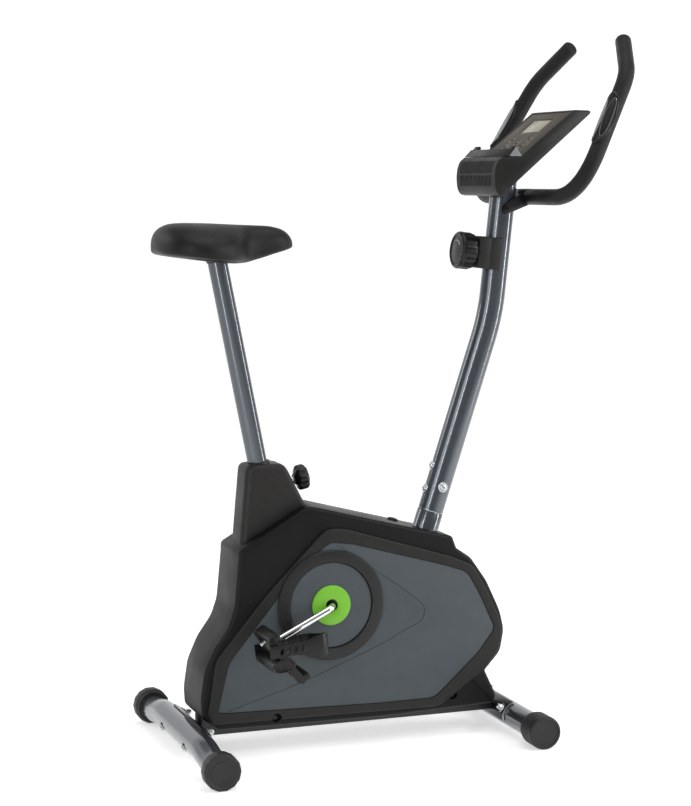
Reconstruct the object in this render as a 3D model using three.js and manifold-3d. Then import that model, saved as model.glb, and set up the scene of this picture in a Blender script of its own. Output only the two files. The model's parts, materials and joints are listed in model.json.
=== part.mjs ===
// Upright exercise bike, millimetres, +X towards the handlebar, +Y to the rider's left, +Z up.
// The origin is on the floor, under the middle of the bike's length.
import * as THREE from 'three';
import { mergeVertices } from 'three/addons/utils/BufferGeometryUtils.js';
import Module from 'manifold-3d';

const wasm = await Module();
wasm.setup();

// ---------- driving dimensions ----------
// X is counted from the rear stabiliser's axis; the whole bike then moves back by ORIGIN_X.
const ORIGIN_X = 414;
const GAP = 0.35;                       // clearance between pieces that touch

const WHEELBASE = 668;                  // rear stabiliser axis to front stabiliser axis
const STABILISER_RADIUS = 25;
const REAR_FOOT = { radius: 35.5, inner: 232, outer: 266 };
const FRONT_ROLLER = { radius: 33, inner: 157, outer: 213 };
const SADDLE_PLATE = { thick: 4, from: -8, to: 76 };       // curved plate on a tube, arc in degrees
// Each tube's place, the side its saddle plate is on, its axis height and its diagonal bolts.
const REAR_TUBE = { x: 0, inward: 1, middleZ: 47, plateHalf: 100, boltY: 80, boltRise: 25 * Math.PI / 180 };
const FRONT_TUBE = {
  x: WHEELBASE, inward: -1, middleZ: 33, plateHalf: 71, boltY: 56, boltRise: 32 * Math.PI / 180 };

const RAIL = { halfWidth: 20, bottom: 37, top: 87 };
const CRANK_AXIS = { x: 274, z: 288 };
const CRANK_LENGTH = 160;
const CRANK_ANGLE = 204 * Math.PI / 180;   // right arm, from +X towards +Z
const CRANK_ROD_RADIUS = 7;
const CRANK_BEND_Y = 93;                // where the axle turns into an arm
const CRANK_END_Y = 110;                // middle of the boss at an arm's end
const PULLEY = { radius: 108, y0: 28, y1: 36 };
const FLYWHEEL = { x: 545, z: 215, radius: 85, y0: 40, y1: 54, hub: 20 };

const SEAT_FOOT_X = 245;                // where the seat tube's axis meets the rail's top
const SEAT_LEAN = 11.3 * Math.PI / 180; // seat tube from the vertical, towards the rear
const SEAT_POST_RADIUS = 19.05;
const SEAT_SLEEVE_RADIUS = 23;
const SEAT_PIN_Z = 512;                 // height where the pin's axis meets the seat tube's axis
const SADDLE = { rear: -51, nose: 222, bottom: 947, top: 1021 };

const STUB_FOOT_X = 393;                // where the mast's axis meets the rail's top
const STUB_SLOPE = 0.3264;              // forward run of the mast per unit of height, lower part
const MAST_RADIUS = 25.4;
const MAST_BEND_Z = 835;
const MAST_TOP_LEAN = 6.1 * Math.PI / 180;
const MAST_FOOT_Z = 448;

const CASING_HALF = 72;                 // half thickness of the casing
const CASING_EDGE = 12;                 // rounding of its long edges
const WALL = 3.5;
const RING_RADIUS = 107;
const DISC_RADIUS = 83;
const CAP_RADIUS = 39;

const CONSOLE_HALF = 97;
const CONSOLE_SLOPE = 38.7 * Math.PI / 180;
const BAR_RADIUS = 12.7;
const FOAM_RADIUS = 15.8;
const BAR = { x: 705, z: 1069 };        // handlebar's axis where the clamp holds it
const PEDAL_TURN = 53 * Math.PI / 180;  // pedals at rest, turned forward about their spindles
const STRAP_TURN = 84 * Math.PI / 180;  // toe straps, turned the same way
const STRAP_OFFSET = { x: -17, z: 16 }; // strap's middle from the pedal's spindle
const PEDAL = { inner: 121.8, outer: 218 };

// ---------- solids: every piece is kept as a closed, indexed geometry ----------
function solidOf(geometry) {
  const bare = geometry.clone();
  for (const name of Object.keys(bare.attributes)) if (name !== 'position') bare.deleteAttribute(name);
  const merged = mergeVertices(bare, 1e-4);
  const corners = [];
  const index = merged.index.array;
  for (let i = 0; i < index.length; i += 3) {
    const [a, b, c] = [index[i], index[i + 1], index[i + 2]];
    if (a !== b && b !== c && c !== a) corners.push(a, b, c);
  }
  return new wasm.Manifold(new wasm.Mesh({
    numProp: 3,
    vertProperties: new Float32Array(merged.attributes.position.array),
    triVerts: new Uint32Array(corners),
  }));
}

function geometryOf(solid) {
  const mesh = solid.getMesh();
  const geometry = new THREE.BufferGeometry();
  geometry.setAttribute('position', new THREE.BufferAttribute(new Float32Array(mesh.vertProperties), 3));
  geometry.setIndex(new THREE.BufferAttribute(new Uint32Array(mesh.triVerts), 1));
  return geometry;
}

const join = (first, ...others) => geometryOf(
  others.reduce((sum, part) => sum.add(solidOf(part)), solidOf(first)));
const cut = (body, ...tools) => geometryOf(
  tools.reduce((rest, tool) => rest.subtract(solidOf(tool)), solidOf(body)));
const common = (a, b) => geometryOf(solidOf(a).intersect(solidOf(b)));

// The same piece on the other side of the bike's middle plane.
function mirrored(geometry) {
  const copy = geometryOf(solidOf(geometry));
  const position = copy.attributes.position;
  for (let i = 0; i < position.count; i += 1) position.setY(i, -position.getY(i));
  const index = copy.index.array;
  for (let i = 0; i < index.length; i += 3) [index[i], index[i + 1]] = [index[i + 1], index[i]];
  return copy;
}

// ---------- shape helpers ----------
const vec = (x, y, z) => new THREE.Vector3(x, y, z);

// Radius of a hole with flat sides that clears a round piece.
const bore = (radius, sides) => (radius + GAP) / Math.cos(Math.PI / sides);

function box(x0, x1, y0, y1, z0, z1) {
  return new THREE.BoxGeometry(x1 - x0, y1 - y0, z1 - z0)
    .translate((x0 + x1) / 2, (y0 + y1) / 2, (z0 + z1) / 2);
}

// Turns a geometry made along +Y so that it runs from one point to another.
function along(geometry, from, to) {
  const turn = new THREE.Quaternion().setFromUnitVectors(vec(0, 1, 0), to.clone().sub(from).normalize());
  return geometry.applyQuaternion(turn).translate(from.x, from.y, from.z);
}

function rod(from, to, radius, sides = 16) {
  const length = from.distanceTo(to);
  const upright = new THREE.CylinderGeometry(radius, radius, length, sides).translate(0, length / 2, 0);
  return along(upright, from, to);
}

// A turned piece: profile pairs are radius and distance from the first point.
function turned(profile, from, to, sides = 24, start = 0) {
  const points = profile.map(([r, d]) => new THREE.Vector2(r, d));
  return along(new THREE.LatheGeometry(points, sides, start), from, to);
}

function circle(radius, sides) {
  const points = [];
  for (let i = 0; i < sides; i += 1) {
    const angle = 2 * Math.PI * i / sides;
    points.push(new THREE.Vector2(radius * Math.cos(angle), radius * Math.sin(angle)));
  }
  return points;
}

// A closed outline whose corners are [x, z, rounding].
function outline(corners) {
  const shape = new THREE.Shape();
  corners.forEach(([x, z, round = 0], i) => {
    const here = new THREE.Vector2(x, z);
    const before = new THREE.Vector2(...corners.at(i - 1).slice(0, 2));
    const after = new THREE.Vector2(...corners[(i + 1) % corners.length].slice(0, 2));
    const enter = before.sub(here).setLength(round).add(here);
    const leave = after.sub(here).setLength(round).add(here);
    if (i === 0) shape.moveTo(enter.x, enter.y);
    else shape.lineTo(enter.x, enter.y);
    if (round > 0) shape.quadraticCurveTo(here.x, here.y, leave.x, leave.y);
  });
  shape.closePath();
  return shape;
}

// An X-Z outline as a slab from y0 to y1, with rounded long edges and an optional inset.
function slab(shape, y0, y1, { edge = 0, inset = 0, segments = 3 } = {}) {
  const geometry = new THREE.ExtrudeGeometry(shape, {
    depth: y1 - y0 - 2 * edge, curveSegments: segments, steps: 1,
    bevelEnabled: edge > 0 || inset > 0, bevelThickness: edge, bevelSize: edge,
    bevelOffset: -edge - inset, bevelSegments: edge > 0 ? 3 : 0,
  });
  return geometry.rotateX(Math.PI / 2).translate(0, y1 - edge, 0);
}

function disc(x, z, radius, y0, y1, sides = 32) {
  return rod(vec(x, y0, z), vec(x, y1, z), radius, sides);
}

// A tube along a curve; inner is its bore's radius, or 0 for a solid bar.
function tube(path, radius, inner, steps, sides = 12) {
  const section = new THREE.Shape(circle(radius, sides));
  if (inner > 0) section.holes.push(new THREE.Path(circle(inner, sides)));
  return new THREE.ExtrudeGeometry(section, { steps, bevelEnabled: false, extrudePath: path });
}

// A path of straight runs with a smooth bend at each inner point. rounds holds the bends' reaches.
function bentPath(points, ...rounds) {
  const path = new THREE.CurvePath();
  let last = points[0];
  for (let i = 1; i < points.length - 1; i += 1) {
    const corner = points[i];
    const round = rounds[(i - 1) % rounds.length];
    const enter = points[i - 1].clone().sub(corner).setLength(round).add(corner);
    const leave = points[i + 1].clone().sub(corner).setLength(round).add(corner);
    path.add(new THREE.LineCurve3(last, enter));
    path.add(new THREE.QuadraticBezierCurve3(enter, corner, leave));
    last = leave;
  }
  path.add(new THREE.LineCurve3(last, points.at(-1)));
  return path;
}

// ---------- the bike and its finishes ----------
const bike = new THREE.Group();
bike.position.x = -ORIGIN_X;

const finish = (color, roughness, metalness) => (
  new THREE.MeshStandardMaterial({ color, roughness, metalness }));
const FINISH = {
  paint: finish(0x4a5055, 0.35, 0.6),
  darkPaint: finish(0x1c1d1e, 0.45, 0.3),
  chrome: finish(0xd8dadc, 0.12, 1),
  zinc: finish(0xb4b6b4, 0.35, 0.9),
  steel: finish(0x8c8f92, 0.4, 0.9),
  casing: finish(0x222120, 0.55, 0),
  panel: finish(0x4e5456, 0.5, 0),
  green: finish(0x6abf2e, 0.45, 0),
  foam: finish(0x1b1b1b, 0.9, 0),
  vinyl: finish(0x191919, 0.5, 0),
  rubber: finish(0x151515, 0.8, 0),
  plastic: finish(0x1d1d1d, 0.6, 0),
  consolePanel: finish(0x55504a, 0.35, 0.1),
  screen: finish(0xb3ab9b, 0.2, 0),
  button: finish(0xc9c3b6, 0.5, 0),
};

function piece(name, geometry, material) {
  const mesh = new THREE.Mesh(geometryOf(solidOf(geometry)), material);
  mesh.name = name;
  bike.add(mesh);
}

// The right-hand piece as given, and its mirror image on the left.
function pair(name, geometry, material) {
  piece(`${name}_right`, geometry, material);
  piece(`${name}_left`, mirrored(geometry), material);
}

// ---------- stabilisers, feet and rollers ----------
// Level under the frame, then down to the height of the end caps.
function stabiliserPath({ x, middleZ }, endZ, end) {
  const [level, lowered] = [128, 222];
  const path = new THREE.CurvePath();
  const bend = (s) => new THREE.CubicBezierCurve3(
    vec(x, s * lowered, endZ), vec(x, s * 190, endZ), vec(x, s * 160, middleZ), vec(x, s * level, middleZ));
  const left = bend(1);
  path.add(new THREE.LineCurve3(vec(x, -end, endZ), vec(x, -lowered, endZ)));
  path.add(bend(-1));
  path.add(new THREE.LineCurve3(vec(x, -level, middleZ), vec(x, level, middleZ)));
  path.add(new THREE.CubicBezierCurve3(left.v3, left.v2, left.v1, left.v0));
  path.add(new THREE.LineCurve3(vec(x, lowered, endZ), vec(x, end, endZ)));
  return path;
}

// A point on the sloping line of a bolt, at a distance from the tube's axis towards the frame.
const boltPoint = (end, side, distance) => vec(
  end.x + end.inward * distance * Math.cos(end.boltRise), side * end.boltY,
  end.middleZ + distance * Math.sin(end.boltRise));
const boltHoles = (end) => [-1, 1].map((side) => rod(
  boltPoint(end, side, -60), boltPoint(end, side, 60), 6, 10));

// A hollow end cap round the tube, turned about the tube's own axis.
function endCap(x, z, { radius, inner, outer }, sides, start) {
  const hole = bore(STABILISER_RADIUS, 12) + 0.3;
  const depth = outer - inner;
  const profile = [
    [hole, 0], [radius - 3, 0], [radius - 3, 6], [radius, 9], [radius, depth - 4], [radius - 4, depth],
    [radius - 9, depth], [radius - 9, depth - 2], [0, depth - 2], [0, depth - 6], [hole, depth - 6],
    [hole, 0],
  ];
  return turned(profile, vec(x, inner, z), vec(x, outer, z), sides, start);
}

// A bolt across a stabiliser: head behind and below, dome nut on the saddle plate.
function stabiliserBolt(end) {
  const head = -STABILISER_RADIUS - GAP;
  const face = STABILISER_RADIUS + SADDLE_PLATE.thick + 3 * GAP;
  const bar = (from, to, radius, sides) => rod(
    boltPoint(end, -1, from), boltPoint(end, -1, to), radius, sides);
  return join(
    bar(head - 1, face + 3, 5, 10), bar(head - 6, head, 9, 12),
    bar(face + 1.6, face + 3.6, 9.5, 12), bar(face + 2.6, face + 13.6, 7, 6));
}

// The tubes end inside their caps, short of each cap's floor.
const CAP_FLOOR = 6.5;
const rearPath = stabiliserPath(REAR_TUBE, REAR_FOOT.radius, REAR_FOOT.outer - CAP_FLOOR);
const frontEnd = FRONT_ROLLER.outer - CAP_FLOOR;
const frontPath = new THREE.LineCurve3(
  vec(WHEELBASE, -frontEnd, FRONT_TUBE.middleZ), vec(WHEELBASE, frontEnd, FRONT_TUBE.middleZ));
const inside = STABILISER_RADIUS - 2;
piece('rear_stabilizer', cut(
  tube(rearPath, STABILISER_RADIUS, inside, 22, 10), ...boltHoles(REAR_TUBE)), FINISH.paint);
piece('front_stabilizer', cut(
  tube(frontPath, STABILISER_RADIUS, inside, 1, 16), ...boltHoles(FRONT_TUBE)), FINISH.paint);

// Twelve flat sides, so that a rear foot stands on a flat sole; the roller is finer and rolls.
const FOOT_SIDES = 12;
const rearFoot = { ...REAR_FOOT, radius: REAR_FOOT.radius / Math.cos(Math.PI / FOOT_SIDES) };
pair('rear_foot', mirrored(endCap(0, REAR_FOOT.radius, rearFoot, FOOT_SIDES, Math.PI / FOOT_SIDES)),
  FINISH.rubber);
pair('front_roller', mirrored(endCap(WHEELBASE, FRONT_ROLLER.radius, FRONT_ROLLER, 16, 0)), FINISH.rubber);

pair('rear_bolt', stabiliserBolt(REAR_TUBE), FINISH.zinc);
pair('front_bolt', stabiliserBolt(FRONT_TUBE), FINISH.zinc);

// ---------- frame inside and under the casing ----------
// A curved plate on a tube's upper inner side.
function saddlePlate({ x, inward, middleZ, plateHalf }) {
  const steps = 8;
  const arc = (SADDLE_PLATE.to - SADDLE_PLATE.from) * Math.PI / 180;
  const inner = (STABILISER_RADIUS + GAP) / Math.cos(arc / steps / 2);
  const points = [];
  for (const radius of [inner + SADDLE_PLATE.thick, inner]) {
    for (let i = 0; i <= steps; i += 1) {
      const share = radius === inner ? (steps - i) / steps : i / steps;
      const angle = SADDLE_PLATE.from * Math.PI / 180 + arc * share;
      points.push(new THREE.Vector2(
        x + inward * radius * Math.cos(angle), middleZ + radius * Math.sin(angle)));
    }
  }
  return slab(new THREE.Shape(points), -plateHalf, plateHalf);
}

// A folded steel channel, open below, with a saddle plate welded on each end.
const CHANNEL_WALL = 2.5;
const END_WALL = 5;
const railStart = STABILISER_RADIUS + 2;
const railEnd = WHEELBASE - STABILISER_RADIUS - 2;
const railHollow = box(
  railStart + END_WALL, railEnd - END_WALL,
  -RAIL.halfWidth + CHANNEL_WALL, RAIL.halfWidth - CHANNEL_WALL, RAIL.bottom - 5, RAIL.top - CHANNEL_WALL);
piece('frame_rail', cut(
  join(
    box(railStart, railEnd, -RAIL.halfWidth, RAIL.halfWidth, RAIL.bottom, RAIL.top),
    saddlePlate(REAR_TUBE), saddlePlate(FRONT_TUBE)),
  railHollow, ...boltHoles(REAR_TUBE), ...boltHoles(FRONT_TUBE)), FINISH.darkPaint);

const seatUp = vec(-Math.sin(SEAT_LEAN), 0, Math.cos(SEAT_LEAN));
const seatPoint = (z) => vec(SEAT_FOOT_X - (z - RAIL.top) * Math.tan(SEAT_LEAN), 0, z);
const pinOut = vec(Math.cos(SEAT_LEAN), 0, Math.sin(SEAT_LEAN));
const pinPoint = (distance) => seatPoint(SEAT_PIN_Z).addScaledVector(pinOut, distance);
const aboveRail = (geometry) => cut(geometry, box(0, 700, -60, 60, 0, RAIL.top + GAP));
const postBore = rod(seatPoint(0), seatPoint(700), bore(SEAT_POST_RADIUS, 16) + 0.2);
piece('seat_sleeve', aboveRail(cut(
  rod(seatPoint(50), seatPoint(540), SEAT_SLEEVE_RADIUS, 18), postBore,
  rod(pinPoint(0), pinPoint(60), bore(5, 12) + 0.3, 12))), FINISH.darkPaint);

// The crank shell on its upright, with the bore that the crank's axle turns in.
const shellBore = bore(CRANK_ROD_RADIUS, 16) + 0.4;
const UPRIGHT_RADIUS = 21;
piece('crank_upright', cut(
  join(
    rod(vec(CRANK_AXIS.x, 0, RAIL.top + GAP), vec(CRANK_AXIS.x, 0, CRANK_AXIS.z), UPRIGHT_RADIUS),
    disc(CRANK_AXIS.x, CRANK_AXIS.z, 25, -34, 24, 20)),
  rod(vec(CRANK_AXIS.x, 0, RAIL.top - 2), vec(CRANK_AXIS.x, 0, CRANK_AXIS.z - 20), UPRIGHT_RADIUS - 2.5),
  rod(seatPoint(0), seatPoint(400), SEAT_SLEEVE_RADIUS + GAP, 18),
  disc(CRANK_AXIS.x, CRANK_AXIS.z, shellBore, -40, 40, 16)), FINISH.darkPaint);

const stubPoint = (z) => vec(STUB_FOOT_X + (z - RAIL.top) * STUB_SLOPE, 0, z);
const mastBack = vec(-1, 0, STUB_SLOPE).normalize();      // straight out of the mast's rear side
const MAST_BOLTS = { upper: 531, lower: 486, side: 497 };
const holeBehind = (z) => rod(stubPoint(z), stubPoint(z).addScaledVector(mastBack, 60), 4.8, 10);
const mastBoltHoles = [
  holeBehind(MAST_BOLTS.upper), holeBehind(MAST_BOLTS.lower),
  rod(stubPoint(MAST_BOLTS.side).setY(-60), stubPoint(MAST_BOLTS.side), 4.8, 10),
];
piece('front_stub', aboveRail(cut(
  join(rod(stubPoint(50), stubPoint(MAST_FOOT_Z - 1), 26.2, 18), rod(stubPoint(400), stubPoint(545), 22, 12)),
  rod(stubPoint(40), stubPoint(600), 19.5, 14), ...mastBoltHoles)), FINISH.paint);

// A plate on the rail that carries the flywheel's fixed axle.
const bracketFoot = RAIL.top + GAP;
piece('flywheel_bracket', join(
  slab(outline([
    [505, bracketFoot], [590, bracketFoot], [563, 222, 8], [545, 240, 10], [527, 222, 8]]), 8, 16),
  disc(FLYWHEEL.x, FLYWHEEL.z, 8, 15, FLYWHEEL.y1 + 4, 14)), FINISH.steel);

// ---------- drive ----------
const crankEnd = (side) => vec(
  CRANK_AXIS.x + side * CRANK_LENGTH * Math.cos(CRANK_ANGLE), -side * CRANK_END_Y,
  CRANK_AXIS.z + side * CRANK_LENGTH * Math.sin(CRANK_ANGLE));
const crankPath = bentPath([
  crankEnd(1), vec(CRANK_AXIS.x, -CRANK_BEND_Y, CRANK_AXIS.z), vec(CRANK_AXIS.x, CRANK_BEND_Y, CRANK_AXIS.z),
  crankEnd(-1)], 16);
const crankEndPieces = [1, -1].flatMap((side) => {
  const end = crankEnd(side);
  const at = (y) => end.clone().setY(-side * y);
  return [rod(at(103), at(117), 13, 16), rod(at(116), at(PEDAL.outer - 4), 6, 12)];
});
piece('crank', join(tube(crankPath, CRANK_ROD_RADIUS, 0, 30, 8), ...crankEndPieces), FINISH.chrome);

piece('drive_pulley', cut(
  turned([[0, 0], [PULLEY.radius, 0], [PULLEY.radius, PULLEY.y1 - PULLEY.y0], [0, PULLEY.y1 - PULLEY.y0]],
    vec(CRANK_AXIS.x, PULLEY.y0, CRANK_AXIS.z), vec(CRANK_AXIS.x, PULLEY.y1, CRANK_AXIS.z), 30),
  disc(CRANK_AXIS.x, CRANK_AXIS.z, bore(CRANK_ROD_RADIUS, 12), 0, 60, 12)), FINISH.plastic);

piece('flywheel', cut(
  join(
    disc(FLYWHEEL.x, FLYWHEEL.z, FLYWHEEL.radius, FLYWHEEL.y0, FLYWHEEL.y1, 28),
    disc(FLYWHEEL.x, FLYWHEEL.z, FLYWHEEL.hub, PULLEY.y0, FLYWHEEL.y0 + 1, 20)),
  disc(FLYWHEEL.x, FLYWHEEL.z, bore(8, 16) + 0.2, 0, 60, 16)), FINISH.steel);

// The belt's outline round both pulleys has two arcs and two straight runs; so has the hole in it.
function beltOutline(rise) {
  const big = PULLEY.radius + rise;
  const small = FLYWHEEL.hub + rise;
  const span = vec(FLYWHEEL.x - CRANK_AXIS.x, FLYWHEEL.z - CRANK_AXIS.z, 0);
  const heading = Math.atan2(span.y, span.x);
  const spread = Math.acos((big - small) / span.length());
  const points = [];
  const arc = (cx, cz, radius, from, to, count) => {
    for (let i = 0; i <= count; i += 1) {
      const angle = from + (to - from) * i / count;
      points.push(new THREE.Vector2(cx + radius * Math.cos(angle), cz + radius * Math.sin(angle)));
    }
  };
  arc(CRANK_AXIS.x, CRANK_AXIS.z, big, heading + spread, heading + 2 * Math.PI - spread, 24);
  arc(FLYWHEEL.x, FLYWHEEL.z, small, heading - spread, heading + spread, 10);
  return points;
}
const beltShape = new THREE.Shape(beltOutline(3.2));
beltShape.holes.push(new THREE.Path(beltOutline(1)));
piece('drive_belt', slab(beltShape, PULLEY.y0 + 0.5, PULLEY.y1 - 0.5), FINISH.rubber);

// A curved arm with the brake magnets, over the flywheel's rim, on a pivot behind it.
const magnetPivot = vec(470, 0, 316);
function arcBand(cx, cz, inner, outer, from, to, count) {
  const points = [];
  for (let i = 0; i <= count; i += 1) {
    const angle = from + (to - from) * i / count;
    points.push(new THREE.Vector2(cx + outer * Math.cos(angle), cz + outer * Math.sin(angle)));
  }
  for (let i = count; i >= 0; i -= 1) {
    const angle = from + (to - from) * i / count;
    points.push(new THREE.Vector2(cx + inner * Math.cos(angle), cz + inner * Math.sin(angle)));
  }
  return new THREE.Shape(points);
}
piece('magnet_arm', cut(
  join(
    slab(arcBand(FLYWHEEL.x, FLYWHEEL.z, FLYWHEEL.radius + 6, FLYWHEEL.radius + 17, 1.2, 2.25, 8), 37, 57),
    slab(outline([
      [magnetPivot.x - 10, magnetPivot.z - 10, 6], [magnetPivot.x + 10, magnetPivot.z - 14, 4],
      [500, 302], [512, 314],
      [magnetPivot.x + 10, magnetPivot.z + 10, 6], [magnetPivot.x - 10, magnetPivot.z + 10, 6]]), 41, 53)),
  disc(magnetPivot.x, magnetPivot.z, 4.5, 30, 70, 12)), FINISH.zinc);

// ---------- casing: two shells, insets, discs and caps ----------
const casingShape = outline([
  [18, 84], [16, 118], [24, 172], [44, 217], [72, 256], [84, 290], [93, 384], [93, 401], [222, 475],
  [240, 480], [532, 405], [541, 381], [572, 360], [606, 312], [636, 249], [645, 210], [637, 166],
  [604, 130], [629, 78], [622, 62], [381, 55], [50, 58]]);
const casingOuter = slab(casingShape, -CASING_HALF, CASING_HALF, { edge: CASING_EDGE });
const casingHollow = slab(casingShape, -CASING_HALF + WALL, CASING_HALF - WALL,
  { edge: CASING_EDGE - 2, inset: WALL });
const casingBody = cut(
  casingOuter, casingHollow,
  box(0, 700, -RAIL.halfWidth - 1, RAIL.halfWidth + 1, 0, RAIL.top + 1),
  box(0, 31, -CASING_HALF - 1, CASING_HALF + 1, 0, 75),
  rod(seatPoint(300), seatPoint(600), SEAT_SLEEVE_RADIUS + 1.5, 18),
  rod(stubPoint(300), stubPoint(500), 28.5, 18),
  disc(CRANK_AXIS.x, CRANK_AXIS.z, 14, -100, 100, 20));
const casingRight = common(casingBody, box(-50, 750, -100, -GAP / 2, 0, 600));
pair('casing', casingRight, FINISH.casing);

// A grey inset on each side with the round opening for the crank disc.
const panelShape = outline([
  [47, 94, 5], [68, 187, 10], [196, 344, 40], [262, 409, 24], [316, 405, 16], [378, 390, 8], [557, 337, 12],
  [590, 284, 16], [621, 217, 12], [585, 171, 16], [496, 90, 10], [378, 86]]);
const panelRecess = disc(CRANK_AXIS.x, CRANK_AXIS.z, RING_RADIUS + 0.8, -90, -60, 40);
pair('side_panel', cut(slab(panelShape, -CASING_HALF - 2.6, -CASING_HALF - GAP), panelRecess), FINISH.panel);

const discFace = -CASING_HALF - GAP;
pair('disc_cover', cut(
  join(
    disc(CRANK_AXIS.x, CRANK_AXIS.z, RING_RADIUS, discFace - 5.5, discFace, 30),
    disc(CRANK_AXIS.x, CRANK_AXIS.z, RING_RADIUS - 10, discFace - 7, discFace - 3, 30)),
  disc(CRANK_AXIS.x, CRANK_AXIS.z, DISC_RADIUS, discFace - 9, discFace - 4, 28),
  disc(CRANK_AXIS.x, CRANK_AXIS.z, 14, -100, -50, 20)), FINISH.panel);

pair('crank_cap', cut(
  disc(CRANK_AXIS.x, CRANK_AXIS.z, CAP_RADIUS, discFace - 8.6, discFace - 4.4, 24),
  disc(CRANK_AXIS.x, CRANK_AXIS.z, 12.5, -100, -50, 20)), FINISH.green);

// The hood round the seat tube stands on the casing's sloping top.
const hoodShape = outline([
  [106, 409], [119, 562, 12], [199, 558, 14], [246, 481], [222, 476.5]]);
const hoodHollow = outline([[103, 380], [123, 558, 8], [196, 554, 10], [242, 478], [250, 400]]);
piece('seat_post_cover', cut(
  slab(hoodShape, -36, 36, { edge: 7 }),
  slab(hoodHollow, -32.5, 32.5),
  rod(seatPoint(500), seatPoint(600), SEAT_POST_RADIUS + 1.5, 18),
  rod(pinPoint(30), pinPoint(90), 7, 12)), FINISH.casing);

// ---------- seat ----------
piece('seat_post', rod(seatPoint(400), seatPoint(938), SEAT_POST_RADIUS, 16), FINISH.paint);
piece('seat_pin', rod(pinPoint(SEAT_POST_RADIUS + 0.4), pinPoint(79), 5, 12), FINISH.zinc);
const knobProfile = [[0, 0], [11, 0], [13, 4], [22, 6], [25, 10], [25, 22], [21, 27], [0, 28]];
piece('seat_knob', cut(
  turned(knobProfile, pinPoint(65), pinPoint(93), 16),
  rod(pinPoint(60), pinPoint(80), bore(5, 12), 12)), FINISH.plastic);

// The saddle in plan: a wide round rear that narrows to a nose. Points are [x, y] for the left half.
function saddlePlan(scale) {
  const middle = 60;
  const half = [[SADDLE.rear, 0], [-48, 40], [-36, 76], [-12, 102], [22, 115], [56, 110], [86, 88],
    [112, 62], [142, 46], [178, 39], [206, 28], [SADDLE.nose, 0]];
  const all = [...half, ...half.slice(1, -1).reverse().map(([x, y]) => [x, -y])];
  return new THREE.Shape(all.map(([x, y]) => new THREE.Vector2(middle + (x - middle) * scale, y * scale)));
}
function standing(shape, z0, z1) {
  return new THREE.ExtrudeGeometry(shape, { depth: z1 - z0, bevelEnabled: false }).translate(0, 0, z0);
}
const saddleSide = outline([
  [SADDLE.rear - 5, 955], [SADDLE.rear - 4, 996], [-20, SADDLE.top], [70, SADDLE.top - 3], [160, 1010],
  [212, 1000], [SADDLE.nose + 6, 984], [216, 970], [150, 960], [100, SADDLE.bottom], [10, SADDLE.bottom]]);
piece('seat_pad', cut(
  common(standing(saddlePlan(1), 930, 1040), slab(saddleSide, -118, 118, { edge: 14 })),
  standing(saddlePlan(0.78), 900, 966)), FINISH.vinyl);
piece('seat_pan', join(
  standing(saddlePlan(0.74), 953, 963),
  rod(seatPoint(943), seatPoint(956), 24, 16)), FINISH.plastic);

// ---------- mast ----------
const mastUp = vec(Math.sin(MAST_TOP_LEAN), 0, Math.cos(MAST_TOP_LEAN));
const mastBend = stubPoint(MAST_BEND_Z);
const mastPoint = (z) => mastBend.clone().addScaledVector(mastUp, (z - MAST_BEND_Z) / mastUp.z);
const mastPath = bentPath([stubPoint(MAST_FOOT_Z), mastBend, mastPoint(1150)], 32);

// Console side outline: rider-side roll, flat top behind it, sloping face, thin top edge and sloping back.
const consoleSide = [
  [616, 1071], [809, 1236], [770, 1238], [657, 1147.5], [620, 1147], [609, 1134], [603, 1108], [607, 1082]];
const consoleClearance = outline([[560, 1022.5], [616, 1070.6], [820, 1246], [820, 1300], [560, 1300]]);
piece('mast', cut(
  tube(mastPath, MAST_RADIUS, bore(22, 12) + 0.1, 14, 12), ...mastBoltHoles,
  slab(consoleClearance, -60, 60)), FINISH.paint);

function mastBolt(z, outward) {
  const at = (d) => stubPoint(z).addScaledVector(outward, d);
  const seat = MAST_RADIUS + GAP;
  return join(
    rod(at(seat - 12), at(seat + 1), 4, 10),
    rod(at(seat), at(seat + 2), 10, 14),
    rod(at(seat + 1), at(seat + 7), 7, 6));
}
piece('mast_bolt_upper', mastBolt(MAST_BOLTS.upper, mastBack), FINISH.zinc);
piece('mast_bolt_lower', mastBolt(MAST_BOLTS.lower, mastBack), FINISH.zinc);
piece('mast_bolt_right', mastBolt(MAST_BOLTS.side, vec(0, -1, 0)), FINISH.zinc);

// Pieces on the upper mast are drawn round its axis, then set at their height.
const onMast = (geometry, z) => {
  const foot = mastPoint(z);
  return geometry.rotateY(MAST_TOP_LEAN).translate(foot.x, 0, foot.z);
};
const KNOB_Z = 956;
piece('tension_housing', cut(
  onMast(slab(outline([[-50, -32], [2, -32], [2, 32], [-50, 32]]), -29, 29, { edge: 4 }), KNOB_Z),
  rod(mastPoint(880), mastPoint(1040), bore(MAST_RADIUS, 14) + 0.3, 20)), FINISH.plastic);
piece('tension_knob', onMast(
  turned([[0, 0], [33, 0], [34, 8], [37, 12], [37, 34], [34, 38], [27, 38], [25, 36.5], [0, 36.5]],
    vec(-50.4, 0, 0), vec(-89, 0, 0), 20), KNOB_Z), FINISH.plastic);

// ---------- console ----------
const FACE_FOOT = vec(657, 0, 1147.5);
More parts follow.
